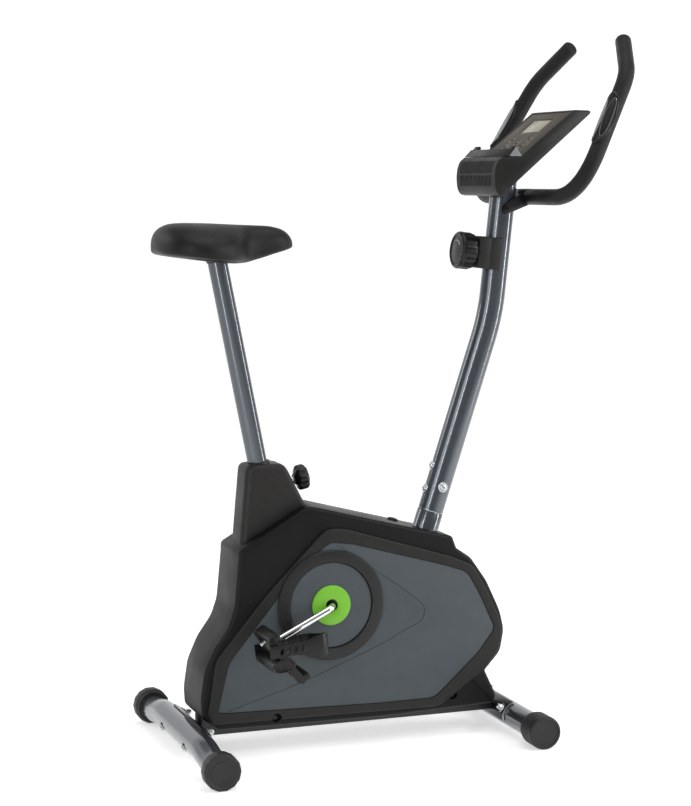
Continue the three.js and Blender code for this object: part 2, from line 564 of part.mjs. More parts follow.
// A box on the console's face: s runs up the slope from its foot, h is height above the face.
function onFace(s0, s1, y0, y1, h0, h1) {
  return box(s0, s1, y0, y1, h0, h1).rotateY(-CONSOLE_SLOPE).translate(FACE_FOOT.x, 0, FACE_FOOT.z);
}
const consoleBody = slab(outline(consoleSide), -CONSOLE_HALF, CONSOLE_HALF, { edge: 3 });
const consoleHollow = outline([[628, 1088], [668, 1122], [780, 1219], [766, 1231], [655, 1142], [622, 1140],
  [612, 1127], [609, 1104], [613, 1090]]);
piece('console_shell', cut(
  consoleBody, slab(consoleHollow, -CONSOLE_HALF + 4, CONSOLE_HALF - 4),
  onFace(4, 140, -CONSOLE_HALF + 8, CONSOLE_HALF - 8, -10, 5)), FINISH.plastic);
// Each button is named, with its lower edge along the slope and its middle across it.
const BUTTONS = [['centre', 39, 0], ['lower_left', 29, 40], ['lower_right', 29, -40],
  ['upper_left', 51, 40], ['upper_right', 51, -40]];
const BUTTON = { length: 8, halfWidth: 5, play: 0.5 };
const buttonHoles = BUTTONS.map(([, s, y]) => onFace(
  s - BUTTON.play, s + BUTTON.length + BUTTON.play,
  y - BUTTON.halfWidth - BUTTON.play, y + BUTTON.halfWidth + BUTTON.play, -6, 3));
piece('console_panel', cut(
  onFace(4.4, 139.6, -CONSOLE_HALF + 8.4, CONSOLE_HALF - 8.4, -3.5, -0.5),
  onFace(76, 120, -44, 44, -6, 3), ...buttonHoles), FINISH.consolePanel);
piece('console_screen', onFace(76.4, 119.6, -43.6, 43.6, -3.2, -1), FINISH.screen);
for (const [name, s, y] of BUTTONS) {
  piece(`console_button_${name}`,
    onFace(s, s + BUTTON.length, y - BUTTON.halfWidth, y + BUTTON.halfWidth, -4.5, 0.8), FINISH.button);
}

// The book ledge stands on the roll, in front of the face, with a taller horn at each end.
const LEDGE_HALF = 95;
const ledgeHorn = outline([[630, 1153], [634, 1150.5], [648, 1166], [644, 1169.5]]);
const ledgeLip = outline([
  [621, 1147.5], [652, 1147.5], [652, 1150], [627, 1150], [637.5, 1160], [634.5, 1162.5]]);
const HORN_WIDTH = 22;
piece('console_ledge', join(
  slab(ledgeLip, -LEDGE_HALF, LEDGE_HALF),
  slab(ledgeHorn, -LEDGE_HALF, -LEDGE_HALF + HORN_WIDTH),
  slab(ledgeHorn, LEDGE_HALF - HORN_WIDTH, LEDGE_HALF)), FINISH.plastic);

// ---------- handlebar ----------
const barRight = [vec(BAR.x, -254, BAR.z), vec(828, -205, 1302), vec(866, -112, 1374)];
const mirrorPoint = (p) => p.clone().setY(-p.y);
const BAR_BENDS = [30, 105, 105, 30];   // reach of each bend, from the right tip to the left one
const fullBar = bentPath([...barRight.toReversed(), ...barRight.map(mirrorPoint)], ...BAR_BENDS);
const BAR_STEPS = 38;
piece('handlebar', tube(fullBar, BAR_RADIUS, BAR_RADIUS - 1.6, BAR_STEPS, 8), FINISH.darkPaint);

// The foam follows the bar's path, but stops 1 mm short of its tips.
const GRIP_START = 40;
const tipBack = barRight[1].clone().sub(barRight[2]).setLength(1).add(barRight[2]);
const foamSide = [barRight[0], barRight[1], tipBack];
const foamPath = bentPath([...foamSide.toReversed(), ...foamSide.map(mirrorPoint)], ...BAR_BENDS);
const foam = cut(
  tube(foamPath, FOAM_RADIUS, 0, BAR_STEPS, 8), tube(fullBar, BAR_RADIUS + GAP, 0, BAR_STEPS, 8));
pair('grip', common(foam, box(0, 1000, -400, -GRIP_START, 1000, 1500)), FINISH.foam);

// Oval pulse plates lie on the foam, on the rider's side of each limb.
const limbDirection = barRight[1].clone().sub(barRight[0]).normalize();
const limbPoint = (d) => barRight[0].clone().addScaledVector(limbDirection, d);
const SENSOR = { from: 107, to: 221, halfWidth: 15 };
const sensorMiddle = limbPoint((SENSOR.from + SENSOR.to) / 2);
const sensorFacing = vec(-0.92, -0.39, 0);
const sensorBody = cut(
  rod(limbPoint(SENSOR.from), limbPoint(SENSOR.to), FOAM_RADIUS + 4, 16),
  rod(limbPoint(SENSOR.from - 5), limbPoint(SENSOR.to + 5), bore(FOAM_RADIUS, 16) + 0.15, 16));
const sensorNormal = sensorFacing
  .addScaledVector(limbDirection, -sensorFacing.dot(limbDirection)).normalize();
const ovalFrame = new THREE.Matrix4().makeBasis(
  limbDirection, sensorNormal, limbDirection.clone().cross(sensorNormal));
const OVAL_DEPTH = 60;
const sensorOval = new THREE.CylinderGeometry(1, 1, OVAL_DEPTH, 20)
  .scale((SENSOR.to - SENSOR.from) / 2, 1, SENSOR.halfWidth)
  .translate(0, OVAL_DEPTH / 2 + 2, 0)
  .applyMatrix4(ovalFrame)
  .translate(sensorMiddle.x, sensorMiddle.y, sensorMiddle.z);
pair('pulse_sensor', common(sensorBody, sensorOval), FINISH.steel);

// A block on the mast's front holds the bar; its cheeks run back along the mast's sides to a cross bolt.
const mastClearance = rod(mastPoint(1000), mastPoint(1200), bore(MAST_RADIUS, 14) + 0.3, 20);
const CROSS_BOLT = { x: 655, z: 1044 };
const cheek = (y0, y1) => slab(outline([
  [CROSS_BOLT.x - 11, CROSS_BOLT.z - 9, 6], [CROSS_BOLT.x + 9, CROSS_BOLT.z - 13, 6],
  [BAR.x + 14, BAR.z - 18, 6], [BAR.x + 14, BAR.z + 16, 6],
  [BAR.x - 12, BAR.z + 16, 6], [CROSS_BOLT.x - 11, CROSS_BOLT.z + 12, 6]]), y0, y1);
piece('handlebar_clamp', cut(
  join(
    cheek(-31, -27), cheek(27, 31),
    box(BAR.x - 12, BAR.x + 19, -28, 28, BAR.z - 20, BAR.z + 19)),
  mastClearance,
  disc(BAR.x, BAR.z, bore(BAR_RADIUS, 16) + 0.3, -60, 60, 16),
  disc(CROSS_BOLT.x, CROSS_BOLT.z, 5, -60, 60, 12)), FINISH.darkPaint);
piece('clamp_bolt', join(
  disc(CROSS_BOLT.x, CROSS_BOLT.z, 4, -33, -27.2, 12),
  disc(CROSS_BOLT.x, CROSS_BOLT.z, 9, -38, -31.5, 6)), FINISH.plastic);

// ---------- pedals ----------
// Drawn with the spindle at the origin, +X along the tread and +Z towards the foot.
function pedalBody() {
  const { inner, outer } = PEDAL;
  const oval = new THREE.Shape(circle(1, 16).map((p) => new THREE.Vector2(3 + 25 * p.x, -7 + 17 * p.y)));
  const barrel = slab(oval, -outer, -inner, { edge: 3 });
  const tread = (x) => box(x - 6, x + 6, -outer + 2, -inner - 2, 4, 25);
  const endPlate = (y) => box(-42, 60, y - 3, y + 3, -2, 14);
  const solid = join(barrel, tread(-38), tread(58), endPlate(-outer + 5), endPlate(-inner - 5));
  return cut(solid, rod(vec(0, -300, 0), vec(0, 0, 0), bore(6, 12) + 0.4, 12));
}

const STRAP = { reach: 112, tail: 6, thick: 3, width: 26, round: 26, side: 3.6 };

// A U of flat band over the toes, standing up along +Z round the pedal's two ends.
function strapBand() {
  const { reach, tail, thick, width, round } = STRAP;
  const y0 = -PEDAL.outer - STRAP.side;
  const y1 = -PEDAL.inner + STRAP.side;
  const loop = outline([
    [y0, -tail], [y0, reach, round], [y1, reach, round], [y1, -tail],
    [y1 - thick, -tail], [y1 - thick, reach - thick, round - thick],
    [y0 + thick, reach - thick, round - thick], [y0 + thick, -tail]]);
  // The outline lies in Y and Z, and its thickness runs along X.
  const band = new THREE.ExtrudeGeometry(loop, { depth: width, bevelEnabled: false, curveSegments: 4 });
  const frame = new THREE.Matrix4().makeBasis(vec(0, 1, 0), vec(0, 0, 1), vec(1, 0, 0));
  return band.applyMatrix4(frame).translate(-width / 2, 0, 0);
}

for (const [name, side] of [['right', 1], ['left', -1]]) {
  const end = crankEnd(side);
  const place = (geometry) => (side === 1 ? geometry : mirrored(geometry)).translate(end.x, 0, end.z);
  piece(`pedal_${name}`, place(pedalBody().rotateY(PEDAL_TURN)), FINISH.plastic);
  const spindleClearance = rod(vec(0, -300, 0), vec(0, 0, 0), 8.5, 12);
  const strap = strapBand().rotateY(STRAP_TURN).translate(STRAP_OFFSET.x, 0, STRAP_OFFSET.z);
  piece(`strap_${name}`, place(cut(strap, spindleClearance)), FINISH.rubber);
}

export default bike;
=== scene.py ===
"""Looks of the exercise bike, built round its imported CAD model.

Metres, +X towards the handlebar, +Y to the rider's left, +Z up. Shapes are drawn in millimetres, with X
counted from the rear stabiliser's axis, and at() turns such a point into the frame's metres.
"""
import json
import math

import bmesh
import bpy
from mathutils import Matrix, Vector


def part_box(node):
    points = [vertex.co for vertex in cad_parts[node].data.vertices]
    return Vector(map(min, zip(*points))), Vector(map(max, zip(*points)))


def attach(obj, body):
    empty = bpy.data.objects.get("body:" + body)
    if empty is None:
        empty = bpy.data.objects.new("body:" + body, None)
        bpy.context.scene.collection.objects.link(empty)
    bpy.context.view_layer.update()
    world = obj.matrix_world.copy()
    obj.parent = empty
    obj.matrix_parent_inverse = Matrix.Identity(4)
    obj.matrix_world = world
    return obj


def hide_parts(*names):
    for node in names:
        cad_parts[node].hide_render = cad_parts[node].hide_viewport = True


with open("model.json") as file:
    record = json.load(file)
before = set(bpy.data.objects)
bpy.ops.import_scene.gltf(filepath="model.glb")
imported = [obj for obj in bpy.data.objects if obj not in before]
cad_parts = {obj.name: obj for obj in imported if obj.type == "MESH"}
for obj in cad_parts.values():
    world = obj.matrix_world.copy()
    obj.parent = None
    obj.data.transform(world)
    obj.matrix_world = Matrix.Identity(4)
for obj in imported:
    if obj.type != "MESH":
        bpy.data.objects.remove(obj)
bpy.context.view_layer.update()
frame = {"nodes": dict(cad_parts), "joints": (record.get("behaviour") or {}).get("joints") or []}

MM = 0.001
JOINTS = {joint["name"]: joint for joint in frame["joints"]}
SCENE = bpy.context.scene


def middle(node):
    low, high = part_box(node)
    return (low + high) / 2


REAR_X = middle("rear_stabilizer").x
FRONT_AXIS = (middle("front_stabilizer").x - REAR_X) / MM


def at(x, y, z):
    return Vector((REAR_X + x * MM, y * MM, z * MM))


def pivot(joint):
    """A joint's point as millimetres from the rear stabiliser's axis."""
    x, y, z = JOINTS[joint]["pos_m"]
    return Vector(((x - REAR_X) / MM, y / MM, z / MM))


CRANK = pivot("crank_spin")
BAR_AXIS = pivot("handlebar_tilt")
SEAT_UP = Vector(JOINTS["seat_height"]["axis"])
PIN_OUT = Vector(JOINTS["pin_pull"]["axis"])
RIGHT = Vector((0, -1, 0))  # out of the side that the main view shows


# ---------- camera, floor and light ----------
CAMERA_LENS = 91.56
CAMERA_TILT, CAMERA_TURN = math.radians(83.82), math.radians(-19.9)
FLOOR_REACH, FLOOR_BEND, WALL_TOP = 6.0, 1.5, 5.0
# Each light's place, its width and height, and its power.
LIGHTS = {
    "key": ((2.6, -2.6, 2.4), (1.0, 2.0), 56), "fill": ((-3.2, -1.6, 1.8), (1.0, 2.0), 17),
    "top": ((0.2, -0.4, 3.6), (2.6, 2.6), 52), "rim": ((-2.8, 2.4, 2.4), (0.8, 2.0), 26),
    "strip_left": ((-2.1, -1.9, 1.3), (0.14, 2.6), 26), "strip_right": ((2.7, -1.1, 1.3), (0.18, 2.6), 40)}


def stage():
    camera = bpy.data.objects.new("camera", bpy.data.cameras.new("camera"))
    camera.data.lens = CAMERA_LENS
    camera.data.sensor_width = 36
    camera.data.clip_end = 50
    camera.location = at(-1021.9, -3737.2, 1100)
    camera.rotation_euler = (CAMERA_TILT, 0, CAMERA_TURN)
    SCENE.collection.objects.link(camera)
    SCENE.camera = camera

    # The floor runs back and curves up into a plain wall.
    bend_start = FLOOR_REACH - FLOOR_BEND
    profile = [(-FLOOR_REACH, 0), (bend_start, 0)]
    profile += [(bend_start + FLOOR_BEND * math.sin(a), FLOOR_BEND * (1 - math.cos(a)))
                for a in (math.radians(step * 9) for step in range(1, 11))]
    profile.append((FLOOR_REACH, WALL_TOP))
    points = [(x * FLOOR_REACH * 1.5, y, z) for y, z in profile for x in (-1, 1)]
    faces = [(2 * i, 2 * i + 1, 2 * i + 3, 2 * i + 2) for i in range(len(profile) - 1)]
    mesh = bpy.data.meshes.new("floor")
    mesh.from_pydata(points, [], faces)
    for face in mesh.polygons:
        face.use_smooth = True
    floor = bpy.data.objects.new("floor", mesh)
    floor.rotation_euler.z = CAMERA_TURN
    SCENE.collection.objects.link(floor)
    mesh.materials.append(look("floor_white", (236, 236, 236), 0.9, tint=0.01, emission=0.56))

    world = bpy.data.worlds.new("studio")
    world.use_nodes = True
    background = world.node_tree.nodes["Background"]
    background.inputs["Color"].default_value = (1, 1, 1, 1)
    background.inputs["Strength"].default_value = 0.28
    SCENE.world = world
    SCENE.view_settings.view_transform = "Standard"

    for name, (place, size, power) in LIGHTS.items():
        light = bpy.data.lights.new(name, "AREA")
        light.shape = "RECTANGLE"
        light.size, light.size_y = size
        light.energy = power
        lamp = bpy.data.objects.new(name, light)
        lamp.location = place
        aim = Vector((0, 0, 0.6)) - Vector(place)
        lamp.rotation_euler = aim.to_track_quat("-Z", "Y").to_euler()
        SCENE.collection.objects.link(lamp)


# ---------- materials ----------
def linear(rgb):
    def channel(value):
        value /= 255
        return value / 12.92 if value <= 0.04045 else ((value + 0.055) / 1.055) ** 2.4
    return (*(channel(value) for value in rgb), 1)


class Nodes:
    """A material's node tree, with short calls for the nodes it needs."""

    def __init__(self, name):
        self.material = bpy.data.materials.new(name)
        self.material.use_nodes = True
        self.tree = self.material.node_tree
        self.shader = self.tree.nodes["Principled BSDF"]
        self.place = self.tree.nodes.new("ShaderNodeTexCoord").outputs["Object"]

    def add(self, kind, result, inputs, **settings):
        """A node's output, with each of its inputs linked to a socket or set to a value."""
        node = self.tree.nodes.new(kind)
        for key, value in settings.items():
            setattr(node, key, value)
        for key, value in inputs.items():
            if isinstance(value, bpy.types.NodeSocket):
                self.link(value, node.inputs[key])
            else:
                node.inputs[key].default_value = value
        return node.outputs[result]

    def link(self, output, socket):
        self.tree.links.new(output, socket)

    def stretched(self, scale):
        return self.add("ShaderNodeMapping", "Vector", {"Vector": self.place, "Scale": scale})

    def noise(self, scale, detail=3, place=None):
        inputs = {"Vector": place or self.place, "Scale": scale, "Detail": detail}
        return self.add("ShaderNodeTexNoise", "Fac", inputs)

    def cells(self, scale, feature="F1"):
        inputs = {"Vector": self.place, "Scale": scale}
        return self.add("ShaderNodeTexVoronoi", "Distance", inputs, feature=feature)

    def ranged(self, value, low, high, start=0.0, end=1.0):
        inputs = {"Value": value, "From Min": start, "From Max": end, "To Min": low, "To Max": high}
        return self.add("ShaderNodeMapRange", "Result", inputs)

    def blended(self, value, first, second):
        inputs = {"Factor": value, "A": first, "B": second}
        return self.add("ShaderNodeMix", "Result", inputs, data_type="RGBA")

    def bump(self, height, strength, distance, before=None):
        inputs = {"Height": height, "Strength": strength, "Distance": distance}
        if before:
            inputs["Normal"] = before
        return self.add("ShaderNodeBump", "Normal", inputs)


def look(name, rgb, rough, metal=0.0, tint=0.12, grain=None, coat=0.0, spread=0.06, flakes=False,
         brushed=None, pores=None, leather=None, specular=0.5, emission=0.0):
    """One finish. grain is the scale and strength of a moulded texture; tint the share the colour wanders."""
    nodes = Nodes(name)
    shader = nodes.shader
    shader.inputs["Metallic"].default_value = metal
    shader.inputs["Specular IOR Level"].default_value = specular
    if coat:
        shader.inputs["Coat Weight"].default_value = coat
        shader.inputs["Coat Roughness"].default_value = 0.08
    colour = linear(rgb)
    darker = (*(c * (1 - tint) for c in colour[:3]), 1)
    lighter = (*(min(1, c * (1 + tint)) for c in colour[:3]), 1)
    cloud = nodes.noise(2600 if flakes else 38, 2 if flakes else 4)
    wander = nodes.ranged(cloud, 0, 1, 0.3, 0.7)
    nodes.link(nodes.blended(wander, darker, lighter), shader.inputs["Base Color"])
    smudges = nodes.noise(17, 5)
    nodes.link(nodes.ranged(smudges, rough - spread, rough + spread, 0.3, 0.7), shader.inputs["Roughness"])
    if emission:
        shader.inputs["Emission Color"].default_value = colour
        shader.inputs["Emission Strength"].default_value = emission
    normal = None
    if grain:
        scale, strength = grain
        normal = nodes.bump(nodes.noise(scale, 2), strength, 0.0004)
        normal = nodes.bump(nodes.cells(scale * 0.8), strength * 0.6, 0.0003, normal)
    if brushed:
        normal = nodes.bump(nodes.noise(260, 2, nodes.stretched(brushed)), 0.25, 0.0002)
    if pores:
        normal = nodes.bump(nodes.cells(pores), 0.55, 0.0006)
        normal = nodes.bump(nodes.noise(pores * 0.3, 3), 0.35, 0.0006, normal)
    if leather:
        creases = nodes.ranged(nodes.cells(leather, "DISTANCE_TO_EDGE"), 0, 1, 0.0, 0.12)
        normal = nodes.bump(creases, 0.35, 0.0003)
        normal = nodes.bump(nodes.noise(leather * 0.12, 3), 0.12, 0.0008, normal)
    if normal:
        nodes.link(normal, shader.inputs["Normal"])
    return nodes.material


LOOKS = {
    "frame_paint": look("frame_paint", (80, 85, 91), 0.22, metal=0.7, tint=0.1, flakes=True, coat=0.5,
                        spread=0.04),
    "black_paint": look("black_paint", (24, 25, 27), 0.34, metal=0.3, flakes=True, coat=0.25),
    "chrome": look("chrome", (226, 227, 228), 0.09, metal=1, tint=0.03, spread=0.03),
    "zinc": look("zinc", (196, 199, 201), 0.26, metal=1, brushed=(1, 6, 1)),
    "steel": look("steel", (150, 153, 156), 0.36, metal=1, brushed=(8, 1, 1)),
    "casing_plastic": look("casing_plastic", (28, 27, 26), 0.46, grain=(1500, 0.30), specular=0.24),
    "casing_ridge": look("casing_ridge", (13, 13, 13), 0.44, grain=(1500, 0.22), specular=0.17),
    "panel_plastic": look("panel_plastic", (60, 66, 70), 0.5, tint=0.05, grain=(1900, 0.18), specular=0.3),
    "ring_plastic": look("ring_plastic", (20, 20, 20), 0.42, grain=(1900, 0.12), specular=0.35),
    "green_plastic": look("green_plastic", (104, 168, 42), 0.42, tint=0.05, grain=(900, 0.16), specular=0.35),
    "foam": look("foam", (10, 10, 10), 0.42, pores=1300, specular=0.22),
    "saddle_vinyl": look("saddle_vinyl", (14, 14, 14), 0.42, leather=620, spread=0.05, specular=0.2),
    "foot_rubber": look("foot_rubber", (30, 30, 30), 0.5, grain=(1100, 0.25), specular=0.35),
    "black_plastic": look("black_plastic", (15, 15, 15), 0.34, grain=(1700, 0.16), specular=0.28),
    "console_plastic": look("console_plastic", (30, 30, 29), 0.44, grain=(1700, 0.22), specular=0.2),
    "console_face": look("console_face", (66, 60, 52), 0.48, tint=0.05, grain=(2400, 0.06), specular=0.22),
    "screen": look("screen", (150, 144, 130), 0.3, tint=0.04, specular=0.25),
    "button_rubber": look("button_rubber", (190, 186, 174), 0.5, grain=(1500, 0.1)),
    "pale_grey": look("pale_grey", (118, 122, 125), 0.4, grain=(1500, 0.1)),
}


# ---------- shapes: each is a list of points, in metres, and a list of faces ----------
def together(*shapes):
    points, faces = [], []
    for shape_points, shape_faces in shapes:
        start = len(points)
        points += shape_points
        faces += [tuple(start + i for i in face) for face in shape_faces]
    return points, faces


def moved(shape, matrix):
    return [matrix @ point for point in shape[0]], shape[1]


def flipped(shape):
    """The same shape on the other side of the bike's middle plane."""
    return [Vector((p.x, -p.y, p.z)) for p in shape[0]], [tuple(reversed(face)) for face in shape[1]]


def to_bmesh(shape):
    bm = bmesh.new()
    verts = [bm.verts.new(point) for point in shape[0]]
    for face in {frozenset(face): face for face in shape[1]}.values():
        bm.faces.new([verts[i] for i in face])
    bmesh.ops.recalc_face_normals(bm, faces=bm.faces)
    if bm.calc_volume(signed=True) < 0:
        bmesh.ops.reverse_faces(bm, faces=bm.faces)
    return bm


def to_shape(bm):
    bm.verts.index_update()
    shape = [v.co.copy() for v in bm.verts], [tuple(v.index for v in face.verts) for face in bm.faces]
    bm.free()
    return shape


def softened(shape, width, segments=3, angle=40):
    """The shape with its sharp edges rounded over a width in millimetres."""
    bm = to_bmesh(shape)
    sharp = [e for e in bm.edges if e.is_manifold and e.calc_face_angle() > math.radians(angle)]
    bmesh.ops.bevel(bm, geom=sharp, offset=width * MM, segments=segments, profile=0.5,
                    affect="EDGES", clamp_overlap=False)
    bmesh.ops.remove_doubles(bm, verts=bm.verts, dist=1e-6)
    return to_shape(bm)


def plain_object(shape, name):
    bm = to_bmesh(shape)
    mesh = bpy.data.meshes.new(name)
    bm.to_mesh(mesh)
    bm.free()
    obj = bpy.data.objects.new(name, mesh)
    SCENE.collection.objects.link(obj)
    return obj


def carved(shape, *cutters):
    """The shape less the cutters, by exact booleans."""
    body = plain_object(shape, "carved")
    tool = plain_object(together(*cutters), "cutter")
    cut = body.modifiers.new("cut", "BOOLEAN")
    cut.operation = "DIFFERENCE"
    cut.solver = "EXACT"
    cut.object = tool
    bpy.context.view_layer.update()
    mesh = bpy.data.meshes.new_from_object(body.evaluated_get(bpy.context.evaluated_depsgraph_get()))
    result = [v.co.copy() for v in mesh.vertices], [tuple(face.vertices) for face in mesh.polygons]
    bpy.data.objects.remove(body)
    bpy.data.objects.remove(tool)
    return result


def loft(rings, closed=False):
    """A skin over rings of equal length. Its ends are capped, or joined to each other if it is closed."""
    count, total = len(rings[0]), len(rings)
    points = [point for ring in rings for point in ring]
    faces = []
    for i in range(total if closed else total - 1):
        n = (i + 1) % total
        for j in range(count):
            k = (j + 1) % count
            faces.append((i * count + j, i * count + k, n * count + k, n * count + j))
    if not closed:
        faces.append(tuple(reversed(range(count))))
        faces.append(tuple(range((total - 1) * count, total * count)))
    return points, faces


def rounded(corners, steps=6):
    """A closed outline from corners [x, z, rounding]."""
    outline = []
    for i, (x, z, *round_) in enumerate(corners):
        here = Vector((x, z))
        if not round_:
            outline.append(here)
            continue
        before = Vector(corners[i - 1][:2]) - here
        after = Vector(corners[(i + 1) % len(corners)][:2]) - here
        reach = min(round_[0], 0.49 * before.length, 0.49 * after.length)
        enter = here + before.normalized() * reach
        leave = here + after.normalized() * reach
        for step in range(steps + 1):
            t = step / steps
            outline.append(enter * (1 - t) ** 2 + here * 2 * t * (1 - t) + leave * t * t)
    return outline


def inset(outline, distance):
    """The outline moved inwards by a distance."""
    area = sum(a.x * b.y - b.x * a.y for a, b in zip(outline, outline[1:] + outline[:1]))
    side = 1 if area > 0 else -1
    result = []
    for i, here in enumerate(outline):
        before = (here - outline[i - 1]).normalized()
        after = (outline[(i + 1) % len(outline)] - here).normalized()
        across = (before + after).normalized()
        normal = Vector((-across.y, across.x)) * side
        result.append(here + normal * distance / max(0.4, before.dot(across)))
    return result


def rectangle(x0, x1, z0, z1):
    return [(x0, z0), (x1, z0), (x1, z1), (x0, z1)]


def prism(outline, y0, y1):
    """An X-Z outline as a slab from y0 to y1."""
    return loft([[at(x, y, z) for x, z in outline] for y in (y0, y1)])


def level(outline, y0, y1):
    """The same slab in a piece's own frame, for on_mast() and the pedals."""
    return loft([[Vector((x, y, z)) * MM for x, z in outline] for y in (y0, y1)])


def circle(radius, sides):
    angles = [2 * math.pi * i / sides for i in range(sides)]
    return [(radius * math.cos(a), radius * math.sin(a)) for a in angles]


def across(direction):
    """Two unit vectors square to a direction and to each other."""
    direction = direction.normalized()
    guide = Vector((0, 0, 1)) if abs(direction.z) < 0.9 else Vector((1, 0, 0))
    first = direction.cross(guide).normalized()
    return first, direction.cross(first)


def turned(profile, origin, direction, sides=48, swell=None, closed=False):
    """A turned piece. Profile pairs are radius and distance along the direction, in millimetres.
    swell(angle, radius, distance) gives a factor on the radius; closed is a profile off the axis."""
    direction = direction.normalized()
    first, second = across(direction)
    rings = []
    for radius, distance in profile:
        ring = []
        for i in range(sides):
            angle = 2 * math.pi * i / sides
            reach = max(radius, 0.01) * MM * (swell(angle, radius, distance) if swell else 1)
            ring.append(origin + direction * distance * MM
                        + first * reach * math.cos(angle) + second * reach * math.sin(angle))
        rings.append(ring)
    return loft(rings, closed)


def bent(points, *reaches, steps=12):
    """A path of straight runs, bent at each inner point over a reach each way."""
    path = [points[0]]
    for before, corner, after, reach in zip(points, points[1:], points[2:], reaches):
        enter = corner + (before - corner).normalized() * reach * MM
        leave = corner + (after - corner).normalized() * reach * MM
        for step in range(steps + 1):
            t = step / steps
            path.append(enter * (1 - t) ** 2 + corner * 2 * t * (1 - t) + leave * t * t)
    path.append(points[-1])
    return path


def swept(path, section, side=None, scales=None):
    """A section, pairs in millimetres, carried along a path. The first pair's axis starts along side."""
    tangents = []
    for i in range(len(path)):
        ahead = path[min(i + 1, len(path) - 1)] - path[max(i - 1, 0)]
        tangents.append(ahead.normalized())
    first = side or across(tangents[0])[0]
    rings = []
    for i, (point, tangent) in enumerate(zip(path, tangents)):
        if i:
            first = tangents[i - 1].rotation_difference(tangent) @ first
        first = (first - tangent * first.dot(tangent)).normalized()
        second = tangent.cross(first)
        scale = (scales[i] if scales else 1) * MM
        rings.append([point + first * a * scale + second * b * scale for a, b in section])
    return loft(rings)


def tube(path, radius, sides=40, side=None, scales=None):
    return swept(path, circle(radius, sides), side, scales)


def piece(name, shape, body, finish, hides=(), smooth=38):
    """A finished object that rides on a body and stands for the CAD nodes it hides."""
    obj = plain_object(shape, name)
    mesh = obj.data
    for face in mesh.polygons:
        face.use_smooth = True
    mesh.set_sharp_from_angle(angle=math.radians(smooth))
    mesh.materials.append(LOOKS[finish])
    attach(obj, body)
    if hides:
        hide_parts(*hides)
    return obj


def both_sides(name, shape, body, finish, hides=(), smooth=38):
    """The right-hand piece and its mirror image. {} in the names stands for the side."""
    for side, made in (("right", shape), ("left", flipped(shape))):
        piece(name.format(side), made, body.format(side), finish,
              [node.format(side) for node in hides], smooth)


def paint_cad(node, finish):
    obj = frame["nodes"][node]
    obj.data.materials.clear()
    obj.data.materials.append(LOOKS[finish])


# ---------- small fasteners ----------
def flats(count, radius, fullness=1.0):
    """A swell that gives a turned piece flat sides where it is over 0.6 of the radius wide."""
    def swell(angle, reach, _distance):
        if reach < radius * 0.6:
            return 1
        local = angle % (2 * math.pi / count) - math.pi / count
        return min(1.0, math.cos(math.pi / count) / math.cos(local) * fullness)
    return swell


def washer(place, direction, radius, hole, thick=1.6):
    profile = [(hole, 0), (radius - 0.4, 0), (radius, 0.4), (radius, thick - 0.4), (radius - 0.4, thick),
               (hole, thick)]
    return turned(profile, place, direction, 40, closed=True)


def hex_bolt(place, direction, radius=7.5, height=5):
    """A hexagon head on a washer."""
    head = turned([(0, 1), (radius, 1), (radius, height), (radius - 0.9, height + 0.7), (0, height + 0.9)],
                  place, direction, 48, flats(6, radius, 1.03))
    return together(washer(place, direction, radius + 3, 3), head)


def socket_bolt(place, direction, radius=7.0):
    """A domed head with a hexagon socket, on a curved washer."""
    dome = [(0, 1), (radius, 1), (radius, 2)]
    dome += [(radius * math.cos(a), 2 + radius * 0.55 * math.sin(a))
             for a in (math.radians(step * 12) for step in range(1, 6))]
    dome += [(2.4, 2 + radius * 0.5), (2.2, 2.2), (0, 2.0)]
    return together(washer(place, direction, radius + 3.4, 3), turned(dome, place, direction, 48))


def dome_nut(place, direction, radius=7.0):
    """A cap nut on a washer: six flats, then a dome."""
    base = turned([(0, 1), (radius, 1), (radius, 7), (radius - 1, 7.6), (0, 7.6)],
                  place, direction, 48, flats(6, radius, 1.03))
    dome = [(radius * 0.78, 7)]
    dome += [(radius * 0.78 * math.cos(a), 7.2 + radius * 0.72 * math.sin(a))
             for a in (math.radians(step * 15) for step in range(0, 6))]
    return together(washer(place, direction, radius + 3, 3), base,
                    turned([(0, 7)] + dome + [(0, 7.2 + radius * 0.72)], place, direction, 40))


# ---------- stabilisers, feet and rollers ----------
STABILISER_RADIUS = 25
LEVEL_HALF, LOWERED = 128, 222          # where the rear tube's bend starts and ends, from the middle
PLATE_INNER, PLATE_OUTER = 25.3, 28.4   # radii of a saddle plate, round its tube's axis
# Each tube's place, its inward side, axis height, plate half-width and arc, and its bolts' place and slope.
REAR_TUBE = {"x": 0, "inward": 1, "z": 47, "half": 100, "arc": (-8, 76), "bolt_y": 80, "rise": 25}
FRONT_TUBE = {"x": FRONT_AXIS, "inward": -1, "z": 33, "half": 71, "arc": (-17, 84), "bolt_y": 56, "rise": 32}
PLATE_SCREW_RISE = 34                   # degrees above level, on the rear plate
REAR_CAP_SIDES = 14
REAR_TUBE_HALF, FRONT_TUBE_HALF = 259, 206
RAIL_X, RAIL_Z = (27, 641), (37, 87)
RAIL_HALF, RAIL_WALL, RAIL_END = 20, 2.5, 5


def stabiliser(tube_at, end_z, half, step=6):
    """A tube along Y that is level in the middle and bends down to its ends' height."""
    count = round(2 * half / step)
    path = []
    for i in range(count + 1):
        y = 2 * half * i / count - half
        share = min(1.0, max(0.0, (abs(y) - LEVEL_HALF) / (LOWERED - LEVEL_HALF)))
        drop = (tube_at["z"] - end_z) * share * share * (3 - 2 * share)
        path.append(at(tube_at["x"], y, tube_at["z"] - drop))
    return tube(path, STABILISER_RADIUS, 56)


